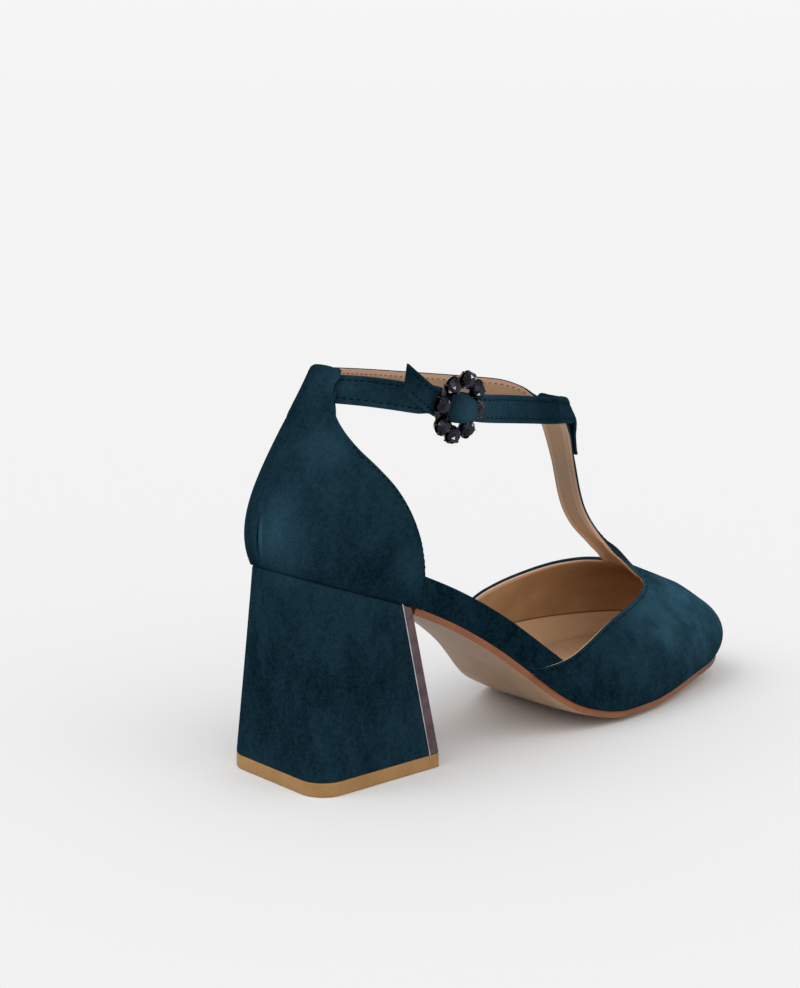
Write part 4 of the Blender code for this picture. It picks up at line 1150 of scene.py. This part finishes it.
def make_counter():
    wall = Wall(mirrored_columns(COUNTER), COUNTER_PROUD)
    wall.feet = [share if share > 0.5 else share + 1.0 for share in wall.feet]
    spans_count = len(wall.feet) - 1
    columns = COUNTER_PER_SPAN * spans_count
    middle = spans_count // 2
    first = (middle - SLEEVE_COLUMNS) * COUNTER_PER_SPAN
    last = (middle + SLEEVE_COLUMNS) * COUNTER_PER_SPAN
    fold = Route([Vector((*row, 0.0)) for row in SLEEVE_FOLD])
    spans = [wall.span(column / COUNTER_PER_SPAN) for column in range(columns + 1)]

    def place(column, row):
        position = column / COUNTER_PER_SPAN
        if row <= COUNTER_ROWS:
            return wall.point(position, wall_height(row, COUNTER_ROWS, spans[column]))
        spot = fold.at((row - COUNTER_ROWS) / SLEEVE_ROWS)
        height = min(1.0, 1.0 + spot.x / spans[column])
        face = wall.point(position, height)
        up = (face - wall.point(position, height - FACE_STEP)).normalized()
        ahead = wall.point(position + COLUMN_STEP, height)
        side = (ahead - wall.point(position - COLUMN_STEP, height)).normalized()
        return face + up.cross(side) * spot.y + up * max(0.0, spot.x)

    def keep(column, row):
        return row <= COUNTER_ROWS or first <= column <= last

    sheet = Sheet(columns, COUNTER_ROWS + SLEEVE_ROWS, place, keep)
    inner_path = [(column, COUNTER_ROWS) for column in range(first + 1)]
    outer_path = [(column, COUNTER_ROWS) for column in range(last, columns + 1)]
    front_inner = [(0, row) for row in range(COUNTER_ROWS)]
    front_outer = [(columns, row) for row in range(COUNTER_ROWS - 1, -1, -1)]
    top = COUNTER_ROWS + SLEEVE_ROWS
    sides = [(column, row) for column in (first, last) for row in range(COUNTER_ROWS, top + 1)]
    flare_sleeve(sheet)
    sheet.measure_edge(front_inner + inner_path + outer_path + front_outer + sides)
    sheet.crease(wall_troughs(wall, COUNTER_CREASES))
    sheet.press(edge_profile)

    def lined(column, row):
        beside = not first - BARE_COLUMNS < column < last + BARE_COLUMNS
        return beside or row < COUNTER_ROWS - BARE_ROWS

    body = Sheet(columns, COUNTER_ROWS, lambda column, row: sheet.verts[column, row].co, lined)
    paths = (front_inner + inner_path[:-BARE_COLUMNS], outer_path[BARE_COLUMNS:] + front_outer)
    body.measure_edge(paths[0] + paths[1])
    for path in paths:
        sew(body, path)
    raw_edge(body, front_outer[COUNTER_ROWS // 3:])
    lining = body.lining(LINING_DEPTH, LINING_RISE)
    body.mesh.free()
    make_panel("counter", "counter_lining", sheet.mesh, lining)


def make_strip(side):
    """Low wall along the waist between counter and vamp."""
    back = feather_share(side, STRIP_BACK_X)
    front = feather_share(side, STRIP_FRONT_X)
    start, end = (back, front) if side == "outer" else (front, back)

    def place(column, row):
        share = start + (end - start) * column / STRIP_COLUMNS
        foot = feather_point(share)
        slope = (sole_top(foot.x + 1) - sole_top(foot.x - 1)) / 2
        up = Vector((-slope, 0.0, 1.0)).normalized()
        height = wall_height(row, STRIP_ROWS, STRIP_HEIGHT)
        bulge = outward(share) * (STRIP_BULGE * math.sin(math.pi * height))
        return foot + up * (STRIP_HEIGHT * height) - outward(share) * (STRIP_LEAN * height) + bulge

    sheet = Sheet(STRIP_COLUMNS, STRIP_ROWS, place)
    sheet.measure_edge([(column, STRIP_ROWS) for column in range(STRIP_COLUMNS + 1)])
    sheet.press(lambda distance: -STRIP_ROLL * max(0.0, 1 - distance / STRIP_ROLL_REACH) ** 2)
    lining = sheet.lining(LINING_DEPTH, LINING_RISE)
    make_panel(f"waist_strip_{side}", f"waist_lining_{side}", sheet.mesh, lining)


# Sole and heel

PLATE_ROWS = 150
PLATE_COLUMNS = 24
TIP_HALF_WIDTH = 13.0
HEEL_SIDES = 240
HEEL_WRAP = 200
CORNER_STEPS = 24
SEAT_STEPS = 100
BEAD_STEPS = 12
SPAN_SLACK = 1e-9
STEEP_HEADING = 0.9


def sole_sheet(back_x, inset, lift):
    """Sheet across the feather line from back_x, or from the heel's back, to the toe."""
    tip = TIP_HALF_WIDTH / FEATHER.length
    outer_start = feather_share("outer", back_x) if back_x else tip
    inner_start = feather_share("inner", back_x) if back_x else 1 - tip

    def edge(share):
        return FEATHER.at(share % 1.0) - outward(share) * inset

    def bulge(start, end, side):
        """Distance of the feather line from its chord, at a share from start to end."""
        return edge(start + (end - start) * side) - edge(start).lerp(edge(end), side)

    def place(column, row):
        reach = row / PLATE_ROWS
        outer = outer_start + (TOE_SHARE - tip - outer_start) * reach
        inner = inner_start + (TOE_SHARE + tip - inner_start) * reach
        side = 1 - column / PLATE_COLUMNS
        spot = edge(outer).lerp(edge(inner), side)
        spot += bulge(TOE_SHARE - tip, TOE_SHARE + tip, side) * reach**4
        if not back_x:
            spot += bulge(tip, -tip, side) * (1 - reach)**4
        across = 2 * side - 1
        height = sole_top(spot.x) + arch(spot.x, across) - camber(spot.x, across)
        return Vector((spot.x, spot.y, height + lift))

    return Sheet(PLATE_COLUMNS, PLATE_ROWS, place)


def make_outsole():
    sheet = sole_sheet(OUTSOLE_BACK_X, 0.0, -JOINT_GAP)
    sole = new_piece("sole", sheet.mesh, ["sole_bottom", "sole_edge"], ["outsole"])
    thicken(sole, OUTSOLE_THICKNESS, rim=1)
    soften(sole, SOLE_ROUNDING)


def make_insole():
    sheet = sole_sheet(None, INSOLE_INSET, JOINT_GAP)
    sock = new_piece("sock", sheet.mesh, ["sock"], ["insole"])
    thicken(sock, INSOLE_THICKNESS, 1.0)
    soften(sock, SOCK_ROUNDING)


def rounded_tread(front_x):
    """Tread outline from its outer front corner round the back to its inner front corner."""
    outer_y, inner_y = TREAD_FRONT_Y
    corners = [(front_x, outer_y), *TREAD_REAR, (front_x, inner_y)]
    corners = [Vector((*corner, 0.0)) for corner in corners]
    radius = TREAD_CORNER_RADIUS
    points = [corners[0]]
    for index in (1, 2):
        corner = corners[index]
        before = (corners[index - 1] - corner).normalized()
        after = (corners[index + 1] - corner).normalized()
        bisector = (before + after).normalized()
        half = before.angle(after) / 2
        centre = corner + bisector * (radius / math.sin(half))
        start = (corner + before * (radius / math.tan(half)) - centre).normalized()
        end = (corner + after * (radius / math.tan(half)) - centre).normalized()
        for step in range(CORNER_STEPS + 1):
            points.append(centre + start.slerp(end, step / CORNER_STEPS) * radius)
    points.append(corners[-1])
    return points


def polyline_at(points, share):
    """Point at a share of a polyline's length."""
    spans = [(end - start).length for start, end in zip(points, points[1:])]
    target = share * sum(spans)
    for start, end, span in zip(points, points[1:], spans):
        if target <= span + SPAN_SLACK:
            return start.lerp(end, target / span)
        target -= span
    return points[-1]


def heel_ring(points, step):
    """Point of a heel outline: round the back for HEEL_WRAP steps, then across the front."""
    if step <= HEEL_WRAP:
        return polyline_at(points, step / HEEL_WRAP)
    return points[-1].lerp(points[0], (step - HEEL_WRAP) / (HEEL_SIDES - HEEL_WRAP))


def seat_outline(front_x):
    """Feather line round the heel seat, from the outer breast corner to the inner one."""
    start = feather_share("outer", front_x)
    end = feather_share("inner", front_x) - 1.0
    shares = [start + (end - start) * step / SEAT_STEPS for step in range(SEAT_STEPS + 1)]
    return [FEATHER.at(share % 1.0) - outward(share % 1.0) * HEEL_INSET for share in shares]


def ruled_block(lower, lower_height, upper, upper_height):
    """Solid with straight sides between two heel outlines at heights that depend on x."""
    bm = bmesh.new()
    bmesh.ops.create_cone(
        bm, cap_ends=True, segments=HEEL_SIDES, radius1=1.0, radius2=1.0, depth=2.0
    )
    for vert in bm.verts:
        turn = math.atan2(vert.co.y, vert.co.x) / (2 * math.pi) * HEEL_SIDES
        outline, height = (lower, lower_height) if vert.co.z < 0 else (upper, upper_height)
        spot = heel_ring(outline, round(-turn) % HEEL_SIDES)
        vert.co = Vector((spot.x, spot.y, height(spot.x)))
    return bm


def seat_height(x):
    return SEAT_Z + SEAT_SLOPE * x - JOINT_GAP


def make_heel():
    tread = rounded_tread(HEEL_BASE_X)
    block = ruled_block(tread, lambda x: LIFT_THICKNESS + JOINT_GAP, seat_outline(HEEL_TOP_X), seat_height)
    soften(new_piece("heel_cover", block, ["suede"], ["heel_block"]), HEEL_ROUNDING)


def make_lift():
    tread = rounded_tread(HEEL_BASE_X + JOINT_GAP + PLATE_THICKNESS)
    block = ruled_block(tread, lambda x: 0.0, tread, lambda x: LIFT_THICKNESS)
    soften(new_piece("top_lift", block, ["lift"], ["heel_top_lift"]), LIFT_ROUNDING)


def wire(bm, points, radius, sides=10, closed=False):
    """Round wire along points, joined to a mesh."""
    count = len(points)
    rings = []
    for index, point in enumerate(points):
        if closed:
            heading = points[(index + 1) % count] - points[index - 1]
        else:
            heading = points[min(count - 1, index + 1)] - points[max(0, index - 1)]
        heading.normalize()
        guide = Vector((0, 0, 1)) if abs(heading.z) < STEEP_HEADING else Vector((1, 0, 0))
        side = heading.cross(guide).normalized()
        other = side.cross(heading)
        turns = [2 * math.pi * step / sides for step in range(sides)]
        spots = [point + (side * math.cos(t) + other * math.sin(t)) * radius for t in turns]
        rings.append([bm.verts.new(spot) for spot in spots])
    pairs = list(zip(rings, rings[1:]))
    if closed:
        pairs.append((rings[-1], rings[0]))
    for ring, following in pairs:
        for step in range(sides):
            ahead = (step + 1) % sides
            bm.faces.new([ring[step], ring[ahead], following[ahead], following[step]])
    if not closed:
        bm.faces.new(rings[0][::-1])
        bm.faces.new(rings[-1])


def make_plate():
    """Metal plate over the breast of the heel, with a bright bead along its rear edges whose pale metal is
    a painted highlight of a bevel catching the light.
    """
    seat = seat_outline(HEEL_TOP_X)
    tread = rounded_tread(HEEL_BASE_X)
    bm = bmesh.new()
    bmesh.ops.create_cube(bm, size=2.0)
    beads = {-1: [], 1: []}
    for vert in bm.verts:
        high = vert.co.z > 0
        front = vert.co.x > 0
        hand = 1 if vert.co.y > 0 else -1
        outline = seat if high else tread
        edge = outline[-1] if hand > 0 else outline[0]
        x = edge.x + JOINT_GAP + (PLATE_THICKNESS if front else 0.0)
        z = seat_height(x) if high else LIFT_THICKNESS + JOINT_GAP
        vert.co = Vector((x, edge.y, z))
        if not front:
            beads[hand].append(Vector((x + BEAD_PROUD, edge.y + hand * BEAD_PROUD, z)))
    plate = new_piece("breast_plate", bm, ["plate"], ["heel_breast_plate"])
    soften(plate, PLATE_ROUNDING, 4)
    # The bead rounds the rear edge, and its pale metal paints the bevel's highlight
    bm = bmesh.new()
    for ends in beads.values():
        low, high = sorted(ends, key=lambda spot: spot.z)
        wire(bm, [low.lerp(high, step / BEAD_STEPS) for step in range(BEAD_STEPS + 1)], BEAD_WIRE)
    new_piece("plate_bead", bm, ["bevel_highlight"])


# Ankle strap

STRAP_STEPS = 420


def buckle_matrix():
    """Frame of the buckle: Z outwards, Y up the ring and X to the toe."""
    out = BUCKLE_OUTWARD.normalized()
    ahead = (Vector((1, 0, 0)) - out * out.x).normalized()
    turn = Matrix((ahead, out.cross(ahead), out)).transposed().to_4x4()
    return Matrix.Translation(BUCKLE_CENTRE) @ turn


BUCKLE_PLACE = buckle_matrix()


def strap_rows():
    """The whole strap from its fixed end round the ankle to the tail."""
    up = BUCKLE_PLACE.to_3x3() @ Vector((0.0, 1.0, 0.0))
    lean = (up.x / up.z, up.y / up.z)
    fixed, tail = (
        [StrapPoint(*(BUCKLE_PLACE @ Vector(row)), *lean) for row in rows]
        for rows in (STRAP_FIXED_END, STRAP_TAIL)
    )
    return fixed + STRAP + tail


def both_halves(half):
    """A symmetrical face of the strap's section from its first half."""
    return table(SectionPoint, half + [(-across, out) for across, out in reversed(half)])


def make_strap():
    rows = strap_rows()
    centre = Route([Vector(row[:3]) for row in rows])
    face_points = both_halves(STRAP_HALF_FACE)
    section = face_points + both_halves(STRAP_HALF_BACK)
    from_buckle = BUCKLE_PLACE.inverted()
    bm = bmesh.new()
    layer = bm.verts.layers.float.new("edge_mm")
    rings = []
    lines = {-1: [], 1: []}
    inner_lines = {-1: [], 1: []}
    for step in range(STRAP_STEPS + 1):
        share = step / STRAP_STEPS
        position = centre.position(share)
        lean_x = along([spot.lean_x for spot in rows], position)
        lean_y = along([spot.lean_y for spot in rows], position)
        up = Vector((lean_x, lean_y, 1.0)).normalized()
        out = up.cross(centre.heading(share)).normalized()
        spot = centre.at(share)
        pinch = math.exp(-((spot - PINCH_CENTRE).length / PINCH_REACH) ** 2)
        half = STRAP_WIDTH / 2 * (1 - PINCH_SHARE * pinch)
        ring = []
        for point in section:
            place = spot + up * (point.across * half) + out * point.out
            local = from_buckle @ place
            if share > 0.5 and point.out > 0 and local.length < 2 * PILLOW_REACH:
                puff = math.exp(-((local.x / PILLOW_REACH) ** PILLOW_END_POWER))
                puff *= 1 - point.across**PILLOW_SIDE_POWER
                place += BUCKLE_OUTWARD.normalized() * (max(0.0, PILLOW_OUT - local.z) * puff)
            vert = bm.verts.new(place)
            vert[layer] = (1 - abs(point.across)) * half
            ring.append(vert)
        rings.append(ring)
        for side in (-1, 1):
            line = up * (side * STRAP_STITCH_ACROSS * half)
            lines[side].append((spot + line + out * STRAP_STITCH_OUT, out))
            inner_lines[side].append((spot + line + out * STRAP_STITCH_BACK, -out))
    skin(bm, rings)
    for number, face in enumerate(bm.faces):
        face.material_index = 1 if number % len(section) >= len(face_points) else 0
    bm.faces.new(rings[0])
    bm.faces.new(rings[-1][::-1])
    bmesh.ops.recalc_face_normals(bm, faces=bm.faces)
    stitches = round(centre.length / STITCH_PITCH)
    for target, sides in ((DARK_STITCHES, lines), (TAN_STITCHES, inner_lines)):
        for rows_on_side in sides.values():
            for index in range(1, stitches - 1):
                step = (index + 0.5) / stitches * STRAP_STEPS
                low = int(step)
                start, normal = rows_on_side[low]
                end = rows_on_side[low + 1][0]
                put_stitch(target, start.lerp(end, step - low), (end - start).normalized(), normal)
    new_piece("strap", bm, ["suede", "strap_lining"], ["ankle_strap"])


# Buckle

RING_STEPS = 96
RING_SIDES = 14
CUP_SIDES = 28
CLAW_SIDES = 8
FACETS = 8
STONE_TWIST = 0.4
# Rings of a stone: shares of its radius and of its height
STONE_TABLE = (0.50, 1.0)
STONE_STAR = (0.80, 0.76)
STONE_BODY = [(1.0, 0.42), (1.0, 0.30), (0.62, 0.0)]


def crystal_angle(index):
    return math.radians(90 - BUCKLE_FIRST_ANGLE - 360 / CRYSTAL_COUNT * index)


def crystal_spot(index):
    """Centre of a crystal's setting in the buckle's frame."""
    return around(crystal_angle(index)) * RING_RADIUS


def put_on_buckle(bm):
    bmesh.ops.transform(bm, matrix=BUCKLE_PLACE, verts=bm.verts)
    bmesh.ops.recalc_face_normals(bm, faces=bm.faces)


def make_buckle():
    """Ring with a clawed cup for each crystal and a bar behind it for the strap."""
    bm = bmesh.new()
    turns = [2 * math.pi * step / RING_STEPS for step in range(RING_STEPS)]
    wire(bm, [around(turn) * RING_RADIUS for turn in turns], RING_WIRE, RING_SIDES, closed=True)
    bar = [
        (RING_RADIUS, 0.0), (BAR_HALF_SPAN, -BAR_DEPTH), (-BAR_HALF_SPAN, -BAR_DEPTH), (-RING_RADIUS, 0.0),
    ]
    wire(bm, [Vector((0.0, *spot)) for spot in bar], BAR_WIRE)
    up = Vector((0.0, 0.0, 1.0))
    for index in range(CRYSTAL_COUNT):
        spot = crystal_spot(index)
        bmesh.ops.create_cone(
            bm, cap_ends=True, segments=CUP_SIDES, radius1=CUP_FOOT_RADIUS, radius2=CUP_RADIUS,
            depth=CUP_HEIGHT, matrix=Matrix.Translation(spot),
        )
        for claw in range(CLAWS):
            away = around(crystal_angle(index) + math.pi / CLAWS + 2 * math.pi * claw / CLAWS)
            prong = [spot + away * CLAW_REACH + up * CLAW_FOOT]
            for inward, height in CLAW_PATH:
                prong.append(spot + away * (CLAW_REACH - inward) + up * (STONE_BASE + height))
            wire(bm, prong, CLAW_WIRE, CLAW_SIDES)
    put_on_buckle(bm)
    new_piece("buckle", bm, ["gunmetal"], ["buckle_frame"])


def facet_look(index, number):
    """Look of a stone's facet: dark, or violet on some kites, or a painted glint on two small facets."""
    step, kind = divmod(number - 1, 4)
    if (kind, step) in ((0, index * 3 % FACETS), (2, (index * 5 + 3) % FACETS)):
        return 2
    return 1 if kind == 1 and (step + index) % 3 == 0 else 0


def make_crystal(index):
    """Brilliant-cut stone: table, star, kite and girdle facets over a low base."""
    bm = bmesh.new()
    turn = crystal_angle(index) + STONE_TWIST * index

    def ring(count, radius, height, offset=0.0):
        verts = []
        for step in range(count):
            spot = around(turn + 2 * math.pi * (step + offset) / count) * (radius * CRYSTAL_RADIUS)
            spot.z = STONE_BASE + height * CRYSTAL_HEIGHT
            verts.append(bm.verts.new(spot))
        return verts

    top = ring(FACETS, *STONE_TABLE)
    star = ring(FACETS, *STONE_STAR, 0.5)
    girdle, rim, foot = (ring(2 * FACETS, *level) for level in STONE_BODY)
    bm.faces.new(top)
    for step in range(FACETS):
        low = girdle[2 * step]
        middle = girdle[2 * step + 1]
        high = girdle[(2 * step + 2) % (2 * FACETS)]
        bm.faces.new([top[step], star[step], top[(step + 1) % FACETS]])
        bm.faces.new([top[step], star[step - 1], low, star[step]])
        bm.faces.new([star[step], low, middle])
        bm.faces.new([star[step], middle, high])
    skin(bm, [girdle, rim, foot])
    bm.faces.new(foot[::-1])
    for number, face in enumerate(bm.faces):
        face.material_index = facet_look(index, number)
    bmesh.ops.translate(bm, vec=crystal_spot(index), verts=bm.verts)
    put_on_buckle(bm)
    looks = ["crystal", "violet_facet", "painted_glint_facet"]
    new_piece(f"stone_{index + 1}", bm, looks, [f"crystal_{index + 1}"], smooth=False)


# Floor, light and camera

FLOOR_HALF = 18.0
FLOOR_FLAT = 5.0
FLOOR_RISE = 1.6
FLOOR_CELLS = 72
FLOOR_GAP = 0.00005
FLOOR_COLOUR = colour(231, 231, 231)
WORLD_STRENGTH = 0.725
KEY_STRENGTH = 0.9
KEY_SOFTNESS = 50.0
KEY_FROM = Vector((-0.60, 0.22, 0.85))
FILL_STRENGTH = 0.75
FILL_SOFTNESS = 70.0
FILL_FROM = Vector((-0.15, -0.70, 0.70))
CAMERA_PLACE = (-0.5292, -0.6087, 0.2719)
CAMERA_TURN = (78.0, 0.0, -42.8)
CAMERA_LENS = 84.65
CAMERA_SENSOR = 36.0


def make_floor():
    """A floor that rises far away, so that it fills the picture to its top."""
    surface = Surface("floor", {"Roughness": 1.0, "Specular IOR Level": 0.0, "Base Color": FLOOR_COLOUR})
    bm = bmesh.new()
    bmesh.ops.create_grid(bm, x_segments=FLOOR_CELLS, y_segments=FLOOR_CELLS, size=FLOOR_HALF)
    for vert in bm.verts:
        vert.co.z = FLOOR_RISE * ease(vert.co.length, FLOOR_FLAT, FLOOR_HALF)
    for face in bm.faces:
        face.smooth = True
    floor = add_object("floor", finished_mesh("floor", bm, [surface.material]))
    floor.location.z = -FLOOR_GAP


def make_light():
    """Even studio light and two soft suns."""
    world = bpy.data.worlds.new("studio")
    world.use_nodes = True
    backdrop = world.node_tree.nodes["Background"]
    backdrop.inputs["Color"].default_value = (1.0, 1.0, 1.0, 1.0)
    backdrop.inputs["Strength"].default_value = WORLD_STRENGTH
    bpy.context.scene.world = world
    for name, strength, softness, source in (
        ("key", KEY_STRENGTH, KEY_SOFTNESS, KEY_FROM),
        ("fill", FILL_STRENGTH, FILL_SOFTNESS, FILL_FROM),
    ):
        sun = bpy.data.lights.new(name, "SUN")
        sun.energy = strength
        sun.angle = math.radians(softness)
        add_object(name, sun).rotation_euler = source.to_track_quat("Z", "Y").to_euler()


def make_camera():
    lens = bpy.data.cameras.new("camera")
    lens.lens = CAMERA_LENS
    lens.sensor_width = CAMERA_SENSOR
    camera = add_object("camera", lens)
    camera.location = CAMERA_PLACE
    camera.rotation_euler = [math.radians(angle) for angle in CAMERA_TURN]
    bpy.context.scene.camera = camera


def main():
    bpy.context.scene.view_settings.view_transform = "Standard"
    make_outsole()
    make_insole()
    make_heel()
    make_plate()
    make_lift()
    make_vamp()
    make_tongue_loop()
    make_counter()
    for side in ("outer", "inner"):
        make_strip(side)
    make_strap()
    make_buckle()
    for index in range(CRYSTAL_COUNT):
        make_crystal(index)
    new_piece("suede_stitches", DARK_STITCHES, ["dark_thread"])
    new_piece("lining_stitches", TAN_STITCHES, ["tan_thread"])
    new_piece("raw_edges", RAW_EDGES, ["lining"])
    make_floor()
    make_light()
    make_camera()
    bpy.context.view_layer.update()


main()
